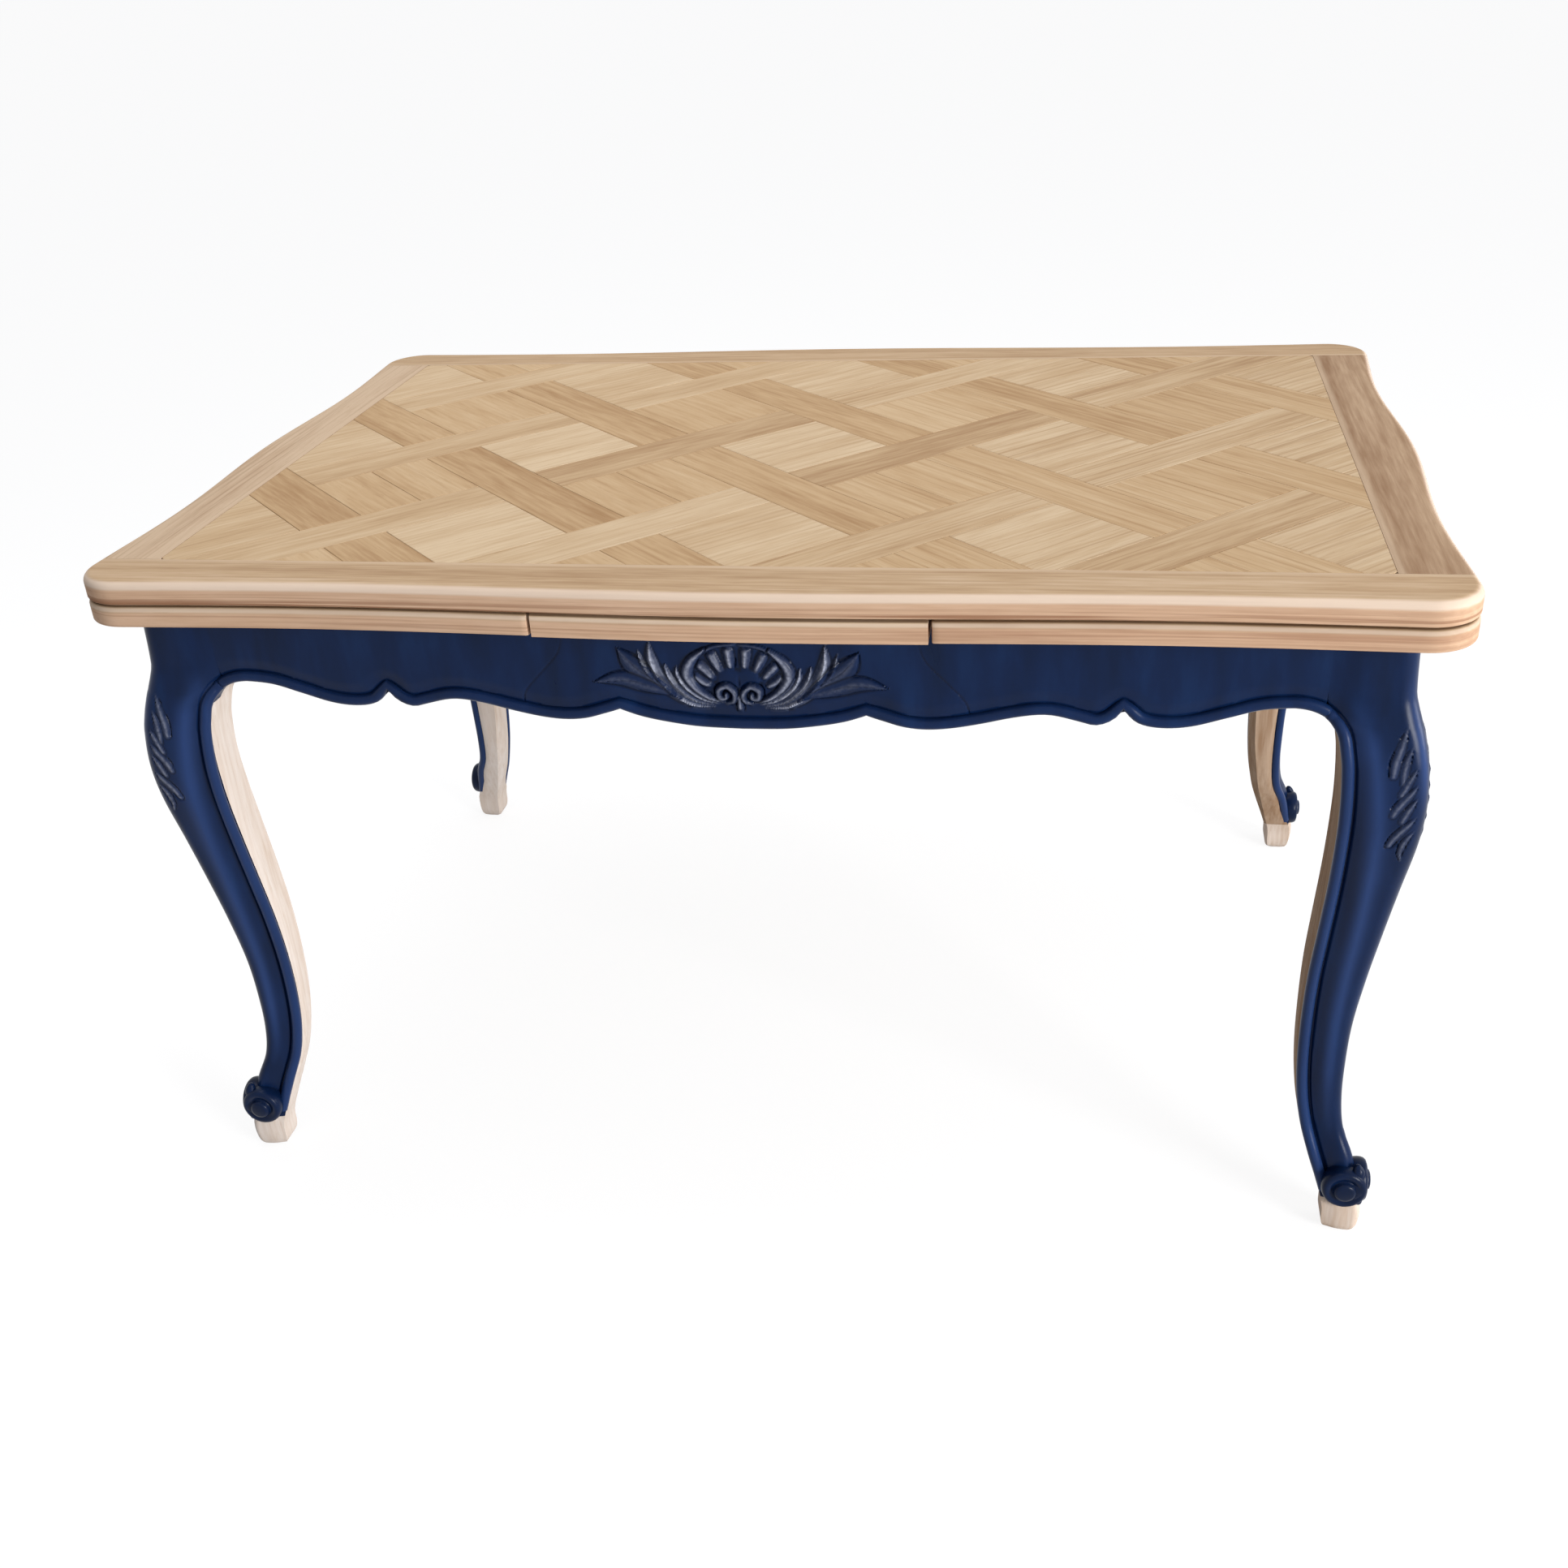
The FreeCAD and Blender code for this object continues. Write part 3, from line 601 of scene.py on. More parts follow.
# Right half of the front apron's carving: the shell's flutes and curled rim, the leaves that
# spring from below it, a small scroll, and the cut line beyond them
shell_half = [
    ([(0, 649, 10.0), (10, 650, 12.0)], 2.0, 0.5, 0.0),
    ([(7, 662, 3.6), (8, 672, 5.4), (9, 681, 6.0)], 5.0, 0.7, 0.62),
    ([(17, 658, 3.6), (22, 668, 5.4), (26, 676, 5.8)], 5.0, 0.7, 0.48),
    ([(25, 651, 3.4), (32, 659, 5.2), (38, 665, 5.6)], 5.0, 0.7, 0.55),
    ([(28, 643, 3.0), (36, 647, 4.6), (43, 652, 5.0)], 4.8, 0.7, 0.50),
    ([(0, 688, 2.2), (10, 688, 2.4), (25, 685, 2.6), (38, 677, 2.0)], 3.2, 0.5, 0.12),
    ([(14, 625, 1.5), (29, 630, 3.4), (43, 640, 5.0), (52, 655, 6.2), (47, 670, 5.4), (33, 683, 2.0)],
     6.2, 0.5, 0.62),
    ([(20, 623, 1.5), (37, 628, 3.4), (53, 639, 4.6), (61, 652, 4.0), (63, 663, 0.8)], 5.0, 0.9, 0.85),
    ([(24, 621, 1.5), (46, 626, 3.6), (63, 639, 5.0), (71, 652, 4.4), (74, 665, 0.8)], 5.2, 0.9, 0.70),
    ([(24, 619, 1.5), (48, 622, 4.0), (69, 635, 6.0), (82, 652, 7.2), (88, 671, 5.8), (89, 690, 0.6)],
     6.4, 0.9, 0.95),
    ([(60, 629, 1.5), (80, 642, 4.2), (95, 660, 5.2), (101, 680, 0.6)], 4.8, 0.9, 0.75),
    ([(66, 634, 2.0), (92, 651, 8.5), (109, 664, 9.5), (122, 682, 0.6)], 2.6, 0.5, 0.10),
    ([(66, 632, 2.0), (96, 641, 7.0), (122, 648, 7.5), (150, 644, 0.6)], 2.6, 0.5, 0.10),
    ([(15, 623, 1.8), (6, 627, 3.2), (4.5, 636, 3.8), (12, 643.5, 4.0), (20.5, 639, 3.8), (19.5, 631, 3.4),
      (13.5, 631, 2.8), (13, 635, 2.4)], 6.0, 0.5, 0.40),
    ([(78, 645, 0.8), (100, 657, 1.2), (117, 674, 0.6)], -1.4, 0.9, 0.0),
    ([(84, 654, 0.8), (98, 664, 1.0), (112, 678, 0.5)], -1.2, 0.9, 0.0),
    ([(82, 638, 0.8), (110, 646, 1.2), (141, 645, 0.6)], -1.4, 0.9, 0.0),
    ([(90, 634, 0.8), (112, 640, 1.0), (132, 642, 0.5)], -1.2, 0.9, 0.0),
    ([(178, 697, 1.2), (186, 674, 1.6), (206, 652, 1.7), (224, 632, 1.6), (229, 616, 1.0)], -1.7, 0.9, 0.0),
]
shell_strokes = both_sides(shell_half) + [([(0, 635, 0.8), (0, 628, 2.6), (0, 619, 4.0)], 4.6, 0.8, 0.5)]

# Lobes of the leaf on a knee: distance from the leg's outer corner, height and half width at each
# point, then the lobe's rise
knee_crest = 0.9
knee_wear_and_highlight = 0.26
knee_lobes = [
    ([(12, 624, 0.8), (20, 607, 3.4), (28, 590, 4.6), (31, 578, 3.6)], 1.5),
    ([(11, 606, 0.8), (17, 594, 3.2), (21, 581, 3.8), (22, 570, 2.8)], 1.3),
    ([(9, 586, 0.8), (16, 573, 3.2), (23, 559, 3.6)], 1.3),
    ([(8, 570, 0.8), (16, 558, 3.4), (25, 546, 4.4), (29, 537, 3.4)], 1.5),
    ([(8, 556, 0.8), (15, 544, 3.2), (20, 531, 3.6)], 1.3),
    ([(7, 537, 0.8), (15, 525, 3.4), (23, 513, 4.2), (27, 503, 3.4)], 1.4),
    ([(6, 522, 0.8), (13, 509, 3.2), (15, 496, 2.8), (12, 485, 0.8)], 1.1),
]
knee_strokes = [(line, rise, knee_crest, knee_wear_and_highlight) for line, rise in knee_lobes]

# Height on a leg, and the place of the painted sheen on its swell as a share of the face's width from its
# corner
painted_sheen_rows = [(110.0, 0.42), (250.0, 0.45), (420.0, 0.55), (560.0, 0.74), (650.0, 0.80)]

# Strength and breadth of that band of painted sheen, the heights between which it shows and over which it
# fades, and the strength, breadth, height and spread of the painted highlight on the knee's corner
band_painted_sheen = 0.46
band_breadth = 0.16
band_low = 110.0
band_low_fade = 90.0
band_high = 650.0
band_high_fade = 50.0
knee_painted_highlight = 0.5
knee_breadth = 6.0
knee_height = 600.0
knee_spread = 45.0


def leg_half_section(z):
    """Points of half a leg's section from its outer corner to its moulded edge.

    Also each point's distance from the corner along the face, and the inner face's place and cut.
    """
    outer, inner, cut = leg_faces_at(z)
    inner = max(inner, -leg_shoulder)
    low = outer - leg_crown_share * leg_width
    radius = leg_corner_share * (outer - inner)
    centre = outer - radius
    points, places = [], []
    for i in range(corner_steps):
        angle = math.radians(45 + 45 * i / corner_steps)
        points.append((centre + radius * math.cos(angle), centre + radius * math.sin(angle)))
        places.append(radius * (angle - math.radians(45)))
    start = radius * math.radians(45)
    width = centre - inner
    scale = min(1.0, edge_share * width / edge_steps[-1])
    near_edge = [inner + d * scale for d in reversed(edge_steps)]
    room = centre - near_edge[0]
    flat = [centre - room * i / face_steps for i in range(face_steps)] + near_edge
    swell = face_swell * min(1.0, width / full_swell_width)
    flush = min(max((z - joint_coat) / joint_rise, 0.0), 1.0)
    for x in flat:
        share = (centre - x) / width
        y = outer - (outer - low) * share ** crown_power + swell * math.sin(math.pi * share) ** 2
        near_joint = flush * max(0.0, 1 - (x + leg_shoulder) / joint_blend) ** 2
        points.append((x, y - near_joint * max(0.0, y - apron_face)))
        places.append(start + centre - x)
    return points, places, (inner, cut)


def leg_piece(name, side_x, side_y, bare, tone, wear_and_highlight_share):
    """Cabriole leg: painted outer faces with a moulded edge and a carved knee, bare inner faces and pad."""
    heights = [z for low, high, rows in leg_rows for z in np.linspace(low, high, rows)]
    loops = [leg_half_section(z) for z in heights]
    plan = np.array([loop[0] for loop in loops])
    places = np.array([loop[1] for loop in loops])
    outer_count = plan.shape[1]
    levels = np.repeat(np.array(heights)[:, None], outer_count, axis=1)

    flat_points = np.stack([(plan[:, :, 0] + foot_x).ravel(), levels.ravel()], axis=1)
    near_edge = distance_to(moulded_edge(half_long), flat_points)
    lowered = groove_depth(near_edge, flat_points[:, 1]).reshape(levels.shape)
    lowered *= np.clip((levels - pad_top) / pad_fade, 0, 1)
    found = carve(np.stack([places.ravel(), levels.ravel()], axis=1), knee_strokes, knee_moat)
    carved, ridge, painted_recess_shade = [values.reshape(levels.shape) for values in found]
    step_x = np.gradient(plan[:, :, 0], axis=1)
    step_y = np.gradient(plan[:, :, 1], axis=1)
    normal = np.stack([step_y, -step_x], axis=2) / np.maximum(np.hypot(step_x, step_y), 1e-6)[:, :, None]
    normal *= np.where((normal.sum(axis=2) < 0)[:, :, None], -1, 1)
    moved = plan + normal * (carved - lowered)[:, :, None]

    # Painted sheen: a band along the swell of the face, and a painted highlight on the knee's corner
    share = places / (places[:, -1:] - 2 * bead_radius)
    crest = np.array([smooth_through(painted_sheen_rows, z)[0] for z in heights])[:, None]
    ends = np.clip((levels - band_low) / band_low_fade, 0, 1)
    ends *= np.clip((band_high - levels) / band_high_fade, 0, 1)
    band = band_painted_sheen * np.exp(-((share - crest) / band_breadth) ** 2) * ends
    corner = knee_painted_highlight * np.exp(-(places / knee_breadth) ** 2)
    corner *= np.exp(-((levels - knee_height) / knee_spread) ** 2)
    # Wear and painted highlight on the knee's ridges, painted shade in its moats, and painted sheen on the
    # face
    layers = {"wear_and_highlight": wear_and_highlight_share * ridge, "cut": painted_recess_shade, "painted_sheen": np.maximum(band, corner)}

    points = []
    numbers = {layer: [] for layer in layers}
    for k, z in enumerate(heights):
        inner, cut = loops[k][2]
        half = [tuple(p) for p in moved[k]]
        edge_y = half[-1][1]
        for i in range(1, back_steps + 1):
            half.append((inner, edge_y + (inner + cut - edge_y) * i / back_steps))
        loop = half + [(y, x) for x, y in half[:0:-1]]
        points += [(side_x * (foot_x + x), side_y * (foot_y + y), z) for x, y in loop]
        for layer, grid in layers.items():
            row = list(grid[k]) + [0.0] * back_steps
            numbers[layer] += row + row[:0:-1]
    count = len(points) // len(heights)
    faces = ring_quads(len(heights), count, turned=True)
    faces.append(list(range(count)))
    faces.append(list(range(len(points) - count, len(points)))[::-1])
    if side_x * side_y < 0:
        faces = [face[::-1] for face in faces]
    marks = []
    for z in heights[:-1]:
        coated = outer_count + (1 if z > joint_coat else -1)
        for i in range(count):
            painted = (i < coated or i >= count - coated) and z > pad_top
            marks.append(0 if painted else 1 if z < pad_top else 2)
    leg = make_piece(name, points, faces, [paint, leg_oak, bare], marks + [1, 1])
    for layer, values in numbers.items():
        give_floats(leg, layer, "POINT", values)
    give_floats(leg, "piece_tone", "POINT", [tone] * len(points))
    return leg


# Oak of the bare faces, its tone and the share of wear and painted highlight on the knees of each end's legs;
# the right legs' browner oak and lower tone are painted shade
leg_looks = {"left": (leg_oak, 0.08, 1.5), "right": (painted_shade_leg_oak, -0.11, 0.8)}
corners = [(face, end, side_x, side_y) for end, side_x in (("left", -1), ("right", 1))
           for face, side_y in (("front", -1), ("back", 1))]
for face, end, side_x, side_y in corners:
    leg = leg_piece(f"carved_{face}_{end}_leg", side_x, side_y, *leg_looks[end])
    settle(leg, "frame", "painted_oak", f"{face}_{end}_leg")


# Steps on each run of an apron's outline, and the rows of its mesh near its lower edge, as shares of its
# depth, with the share from which they are even
apron_outline_steps = 60
apron_row_shares = [0.0, 0.02, 0.05, 0.08, 0.11, 0.13, 0.15, 0.17, 0.20]
even_rows_from = 0.22


def apron_form(half, strokes, stations, rows):
    """Apron board along X with its outer face at Y = 0: points, faces, marks, wear and recesses."""
    line = np.array(apron_edge(half, apron_outline_steps))
    edge = np.interp(np.abs(stations), line[:, 0], line[:, 1])
    shares = apron_row_shares + list(np.linspace(even_rows_from, 1.0, rows))
    grid_z = edge[:, None] + (frame_top - edge)[:, None] * np.array(shares)[None]
    grid_x = np.repeat(stations[:, None], len(shares), axis=1)
    flat = np.stack([grid_x.ravel(), grid_z.ravel()], axis=1)
    lowered = groove_depth(distance_to(moulded_edge(half), np.abs(flat)), np.full(len(flat), frame_top))
    carved, ridge, painted_recess_shade = [values.reshape(grid_x.shape) for values in carve(flat, strokes, shell_moat)]
    rise = carved - lowered.reshape(grid_x.shape)
    points, wear_and_highlight, dark = [], [], []
    for i in range(len(stations)):
        points += [(grid_x[i, k], -rise[i, k], grid_z[i, k]) for k in range(len(shares))]
        points.append((grid_x[i, 0], apron_thickness, frame_top))
        points.append((grid_x[i, 0], apron_thickness, edge[i]))
        wear_and_highlight += list(ridge[i]) + [0.0, 0.0]
        dark += list(painted_recess_shade[i]) + [0.0, 0.0]
    count = len(shares) + 2
    faces = ring_quads(len(stations), count, turned=True)
    faces.append(list(range(count)))
    faces.append(list(range(len(points) - count, len(points)))[::-1])
    bare_rows = (len(shares) - 1, len(shares))
    marks = [1 if k in bare_rows else 0 for _ in stations[1:] for k in range(count)] + [1, 1]
    return points, faces, marks, wear_and_highlight, dark


def turned_round(points, quarter, distance):
    """Points of an apron moved out to its face, then turned in quarter turns about the table's middle."""
    angle = math.radians(90 * quarter)
    cosine, sine = round(math.cos(angle)), round(math.sin(angle))
    moved = [(x, y - distance, z) for x, y, z in points]
    return [(x * cosine - y * sine, x * sine + y * cosine, z) for x, y, z in moved]


def close_stations(half, dense_half, dense, coarse):
    """Stations along an apron, closer together where it is carved."""
    outer = np.linspace(dense_half, half, coarse)[1:]
    inner = np.linspace(-dense_half, dense_half, dense)
    return np.concatenate([-outer[::-1], inner, outer])


slot_width = runner_width + 2 * runner_clearance
slot_low = leaf_low - runner_height - runner_clearance
cutter_height = 100.0


def cut_slots(piece, offset):
    """Cut the runner slots out of an end apron."""
    cutter = bmesh.new()
    for sign in (-1, 1):
        made = bmesh.ops.create_cube(cutter, size=1.0)
        size = Matrix.Diagonal((table_length * 2 * MM, slot_width * MM, cutter_height * MM, 1))
        place = Matrix.Translation((0, sign * offset * MM, (slot_low + cutter_height / 2) * MM))
        bmesh.ops.transform(cutter, matrix=place @ size, verts=made["verts"])
    mesh = bpy.data.meshes.new("slot_cutter")
    cutter.to_mesh(mesh)
    cutter.free()
    tool = add_object("slot_cutter", mesh)
    cut = piece.modifiers.new("slots", "BOOLEAN")
    cut.operation = "DIFFERENCE"
    cut.solver = "EXACT"
    cut.object = tool
    ready = piece.evaluated_get(bpy.context.evaluated_depsgraph_get())
    slotted = bpy.data.meshes.new_from_object(ready)
    piece.modifiers.clear()
    piece.data = slotted
    bpy.data.objects.remove(tool)


# Node, half length, quarter turns, place of the outer face, carving, spacing of the stations, rows, and
# the place of the runner slots
apron_plans = [
    ("front_apron", half_long, 0, face_y, shell_strokes, (half_long, 236.0, 420, 100), 76, None),
    ("right_apron", half_short, 1, face_x, [], (half_short, 100.0, 90, 90), 10, outer_runner_offset),
    ("back_apron", half_long, 2, face_y, [], (half_long, 152.0, 90, 130), 10, None),
    ("left_apron", half_short, 3, face_x, [], (half_short, 100.0, 90, 90), 10, inner_runner_offset),
]
for node, half, quarter, distance, strokes, spacing, rows, slot_offset in apron_plans:
    points, faces, marks, wear_and_highlight, dark = apron_form(half, strokes, close_stations(*spacing), rows)
    points = turned_round(points, quarter, distance)
    apron = make_piece("moulded_" + node, points, faces, [paint, leg_oak], marks)
    # Wear and painted highlight on the carving's ridges, and painted shade in its moats and cuts
    give_floats(apron, "wear_and_highlight", "POINT", wear_and_highlight)
    give_floats(apron, "cut", "POINT", dark)
    if slot_offset:
        cut_slots(apron, slot_offset)
    settle(apron, "frame", "painted_oak", node)


def moulding_tree():
    """Round bead swept along a curve."""
    tree = bpy.data.node_groups.new("bead_along_edge", "GeometryNodeTree")
    tree.interface.new_socket("Geometry", in_out="INPUT", socket_type="NodeSocketGeometry")
    radius = tree.interface.new_socket("Bead Radius", in_out="INPUT", socket_type="NodeSocketFloat")
    sides = tree.interface.new_socket("Bead Sides", in_out="INPUT", socket_type="NodeSocketInt")
    finish = tree.interface.new_socket("Finish", in_out="INPUT", socket_type="NodeSocketMaterial")
    tree.interface.new_socket("Geometry", in_out="OUTPUT", socket_type="NodeSocketGeometry")
    given = add_node(tree, "NodeGroupInput")
    ring = add_node(tree, "GeometryNodeCurvePrimitiveCircle",
                    {"Resolution": given.outputs["Bead Sides"], "Radius": given.outputs["Bead Radius"]})
    swept = add_node(tree, "GeometryNodeCurveToMesh", {"Curve": given.outputs["Geometry"],
                                                       "Profile Curve": ring.outputs[0], "Fill Caps": True})
    soft = add_node(tree, "GeometryNodeSetShadeSmooth", {"Geometry": swept.outputs[0]})
    real = add_node(tree, "GeometryNodeRealizeInstances", {"Geometry": soft.outputs[0]})
    coated = add_node(tree, "GeometryNodeSetMaterial",
                      {"Geometry": real.outputs[0], "Material": given.outputs["Finish"]})
    add_node(tree, "NodeGroupOutput", {0: coated.outputs[0]})
    return tree, {"radius": radius.identifier, "sides": sides.identifier, "finish": finish.identifier}


bead_tree, bead_inputs = moulding_tree()

# Least mitre of the corners of a bead's line, a board's outline and a parquet board's outline
bead_mitre = 0.55
board_mitre = 0.6
parquet_mitre = 0.4


def inset_line(line, distance):
    """Line moved to its left side by a distance, with mitred corners."""
    steps = np.diff(line, axis=0)
    steps /= np.maximum(np.linalg.norm(steps, axis=1), 1e-9)[:, None]
    normals = np.stack([-steps[:, 1], steps[:, 0]], axis=1)
    before = np.vstack([normals[:1], normals])
    after = np.vstack([normals, normals[-1:]])
    spread = np.maximum(1 + (before * after).sum(1), bead_mitre)
    return line + distance * (before + after) / spread[:, None]


def bead_piece(name, half, quarter, distance):
    """Bead along the lower edge of one side: up a leg, along the apron and down the other leg."""
    edge = moulded_edge(half)
    middle_line = inset_line(edge, bead_radius)
    points, sizes = [], []
    for (x, z), (edge_x, _) in zip(middle_line, edge):
        sunk = bead_radius - bead_stand
        if edge_x > half:
            sunk -= leg_half_section(z)[0][-1][1] - apron_face
        points.append((x, sunk, z))
        sizes.append(min(1.0, bead_end_share + (1 - bead_end_share) * (z - bead_low) / bead_taper))
    points = [(-x, y, z) for x, y, z in reversed(points[1:])] + points
    sizes = list(reversed(sizes[1:])) + sizes
    curve = bpy.data.curves.new(name, "CURVE")
    curve.dimensions = "3D"
    spline = curve.splines.new("POLY")
    spline.points.add(len(points) - 1)
    for point, place, size in zip(spline.points, turned_round(points, quarter, distance), sizes):
        point.co = [c * MM for c in place] + [1.0]
        point.radius = size
    guide = add_object(name + "_path", curve)
    sweep = guide.modifiers.new("bead", "NODES")
    sweep.node_group = bead_tree
    sweep[bead_inputs["radius"]] = bead_radius * MM
    sweep[bead_inputs["sides"]] = bead_sides
    sweep[bead_inputs["finish"]] = paint
    ready = guide.evaluated_get(bpy.context.evaluated_depsgraph_get())
    mesh = bpy.data.meshes.new_from_object(ready)
    bpy.data.objects.remove(guide)
    return add_object(name, mesh)


# Painted sheen on the bead, what is added to it on the legs, and the length over which that grows
bead_painted_sheen = 0.08
leg_bead_painted_sheen = 0.20
bead_painted_sheen_grows = 20.0
for node, half, quarter, distance, *_ in apron_plans:
    bead = bead_piece(node.replace("apron", "bead"), half, quarter, distance)
    past_joint = [abs(v.co[quarter % 2]) / MM - half for v in bead.data.vertices]
    on_leg = [min(max(run / bead_painted_sheen_grows, 0.0), 1.0) for run in past_joint]
    give_floats(bead, "painted_sheen", "POINT", [bead_painted_sheen + leg_bead_painted_sheen * share for share in on_leg])
    settle(bead, "frame", "painted_oak")


# Rounds in which a corner or a seam's end settles on the waved outline, steps along an end or a leaf's
# side and along a long side, and steps round a corner and an arris
outline_rounds = 12
end_steps = 60
long_side_steps = 90
corner_turns = 14
arris_turns = 9


def half_length_at(y):
    """Half the table's length at a place across it."""
    return table_length / 2 - end_wave * (1 - math.cos(2 * math.pi * y / end_wave_length))


def half_width_at(x):
    """Half the table's width at a place along it."""
    return table_width / 2 - side_wave * (1 - math.cos(2 * math.pi * x / side_wave_length))


def corner_centre():
    """Middle of the rounded plan corner at +X and +Y."""
    x, y = table_length / 2 - corner_radius, table_width / 2 - corner_radius
    for _ in range(outline_rounds):
        x, y = half_length_at(y) - corner_radius, half_width_at(x) - corner_radius
    return x, y


def end_line(steps):
    """Outline of the +X end from the front side to the back side, both corners included."""
    x, y = corner_centre()
    turns = [math.radians(90 * i / corner_turns) for i in range(corner_turns + 1)]
    front = [(x + corner_radius * math.sin(a), -y - corner_radius * math.cos(a)) for a in turns]
    middle = [(half_length_at(-y + 2 * y * i / steps), -y + 2 * y * i / steps) for i in range(1, steps)]
    back = [(px, -py) for px, py in reversed(front)]
    return front + middle + back


def side_line(start, end, steps):
    """Outline of the front side from one X to another, ends left out."""
    places = [start + (end - start) * i / steps for i in range(1, steps)]
    return [(x, -half_width_at(x)) for x in places]


def seam_at(y, inset):
    """Place along the table of the seam between a leaf and the centre board."""
    return half_length_at(y) - leaf_travel - inset


def rolled_board(outline, fixed, low, profile):
    """Closed board: a plan outline rolled over by (inset, height) steps; fixed points move as given."""
    line = np.array(outline)
    inward = inward_steps(line, board_mitre)
    for i, direction in fixed.items():
        inward[i] = direction
    points = []
    count = len(line)
    for inset, height in profile:
        for p, n in zip(line, inward):
            points.append((p[0] + n[0] * inset, p[1] + n[1] * inset, low + height))
    faces = ring_quads(len(profile), count)
    faces.append(list(range(count))[::-1])
    faces.append(list(range(len(points) - count, len(points))))
    return points, faces


def edge_profile(thickness, arris):
    """Section of a board's outer edge from below: small lower arris, upright face, large upper arris."""
    steps = [(lower_arris, 0.0), (0.5, 0.5), (0.0, lower_arris), (0.0, thickness - arris)]
    for i in range(1, arris_turns + 1):
        angle = math.radians(90 * i / arris_turns)
        steps.append((arris * (1 - math.cos(angle)), thickness - arris * (1 - math.sin(angle))))
    return steps


def board_from(name, points, faces, planes, material, tone):
    """Part of a board on the kept sides of upright planes, each (axis, place, side)."""
    form = bmesh.new()
    verts = [form.verts.new([c * MM for c in p]) for p in points]
    for face in faces:
        form.faces.new([verts[i] for i in face])
    for axis, place, side in planes:
        normal = Vector((1, 0, 0)) if axis == "x" else Vector((0, 1, 0))
        everything = form.verts[:] + form.edges[:] + form.faces[:]
        bmesh.ops.bisect_plane(form, geom=everything, plane_co=normal * place * MM,
                               plane_no=normal * -side, clear_outer=True, dist=1e-7)
        bmesh.ops.holes_fill(form, edges=[e for e in form.edges if e.is_boundary], sides=0)
    bmesh.ops.recalc_face_normals(form, faces=form.faces[:])
    mesh = bpy.data.meshes.new(name)
    form.to_mesh(mesh)
    form.free()
    mesh.materials.append(material)
    mesh.polygons.foreach_set("use_smooth", [True] * len(mesh.polygons))
    mesh.set_sharp_from_angle(angle=math.radians(board_sharp))
    board = add_object(name, mesh)
    give_floats(board, "piece_tone", "FACE", [tone] * len(mesh.polygons))
    give_floats(board, "piece_streak", "FACE", [border_streak] * len(mesh.polygons))
    return board


# Joint between boards, how far a leaf stays off its seam, the round of its corner there, the angle from
# which a board's edges are sharp, and how lively the grain of the borders is
hairline = 0.25
seam_ease = 1.8
seam_round = 3.0
seam_corner = 0.3
board_sharp = 30.0
border_streak = 0.6
right_end = end_line(end_steps)
left_end = [(-x, -y) for x, y in right_end]
front_side = side_line(-corner_centre()[0], corner_centre()[0], long_side_steps)
back_side = [(-x, -y) for x, y in front_side]
whole_outline = right_end + back_side + left_end + front_side
top_points, top_faces = rolled_board(whole_outline, {}, top_low, edge_profile(top_thickness, top_arris))
top_cuts = {
    "front": [("y", -field_y - hairline, -1)],
    "back": [("y", field_y + hairline, 1)],
    "right": [("x", field_x + hairline, 1), ("y", -field_y + hairline, 1), ("y", field_y - hairline, -1)],
    "left": [("x", -field_x - hairline, -1), ("y", -field_y + hairline, 1), ("y", field_y - hairline, -1)],
}
board_tones = {"front": 0.0, "back": -0.05, "right": -0.18, "left": 0.30}
for side, planes in top_cuts.items():
    material = border_x if side in ("front", "back") else border_y
    board = board_from(f"top_{side}_border", top_points, top_faces, planes, material, board_tones[side])
    settle(board, "top", "border_oak", f"top_{side}_board")


def seam_line(inset, steps):
    """Seam curve on the +X side from the front side to the back side."""
    reach = table_width / 2
    for _ in range(outline_rounds):
        reach = half_width_at(seam_at(reach, inset))
    places = [-reach + 2 * reach * i / steps for i in range(steps + 1)]
    return [(seam_at(y, inset), y) for y in places]


leaf_tones = {"left": 0.05, "right": -0.14}
leaf_inner = seam_at(0, 0) + leaf_inner_width


def leaf_boards(side):
    """Four boards round a leaf's parquet."""
    sign = -1 if side == "left" else 1
    tone = leaf_tones[side]
    seam = seam_line(-seam_ease, end_steps)
    x, y = seam[0]
    eased = [(x + seam_corner * seam_round, y + seam_corner * seam_round), (x, y + seam_round)]
    seam = eased + seam[1:-1] + [(px, -py) for px, py in reversed(eased)]
    front = side_line(x, corner_centre()[0], end_steps)
    front = [p for p in front if p[0] > x + 2 * seam_round]
    front.insert(0, (x + seam_round, -half_width_at(x + seam_round)))
    back = [(px, -py) for px, py in reversed(front)]
    outline = front + right_end + back + list(reversed(seam))
    first_seam = len(front) + len(right_end) + len(back)
    fixed = {i: (0.0, 0.0) for i in range(first_seam, len(outline))}
    for i in (first_seam - 1, first_seam, first_seam + 1):
        fixed[i] = (0.0, -1.0)
    for i in (len(outline) - 2, len(outline) - 1, 0):
        fixed[i] = (0.0, 1.0)
    points, faces = rolled_board(outline, fixed, leaf_low, edge_profile(leaf_thickness, leaf_arris))
    across = [("y", -field_y + hairline, 1), ("y", field_y - hairline, -1)]
    cuts = {
        "front": [("y", -field_y - hairline, -1)],
        "back": [("y", field_y + hairline, 1)],
        "outer": [("x", field_x + hairline, 1)] + across,
        "inner": [("x", leaf_inner - hairline, -1)] + across,
    }
    if sign < 0:
        points = [(-x, y, z) for x, y, z in points]
        faces = [face[::-1] for face in faces]
    for place, planes in cuts.items():
        planes = [(axis, where * sign if axis == "x" else where, keep * sign if axis == "x" else keep)
                  for axis, where, keep in planes]
        material = border_x if place in ("front", "back") else border_y
        board = board_from(f"{side}_leaf_{place}_border", points, faces, planes, material, tone)
        settle(board, f"{side}_leaf", "border_oak", f"{side}_leaf_{place}_board")


leaf_boards("left")
leaf_boards("right")


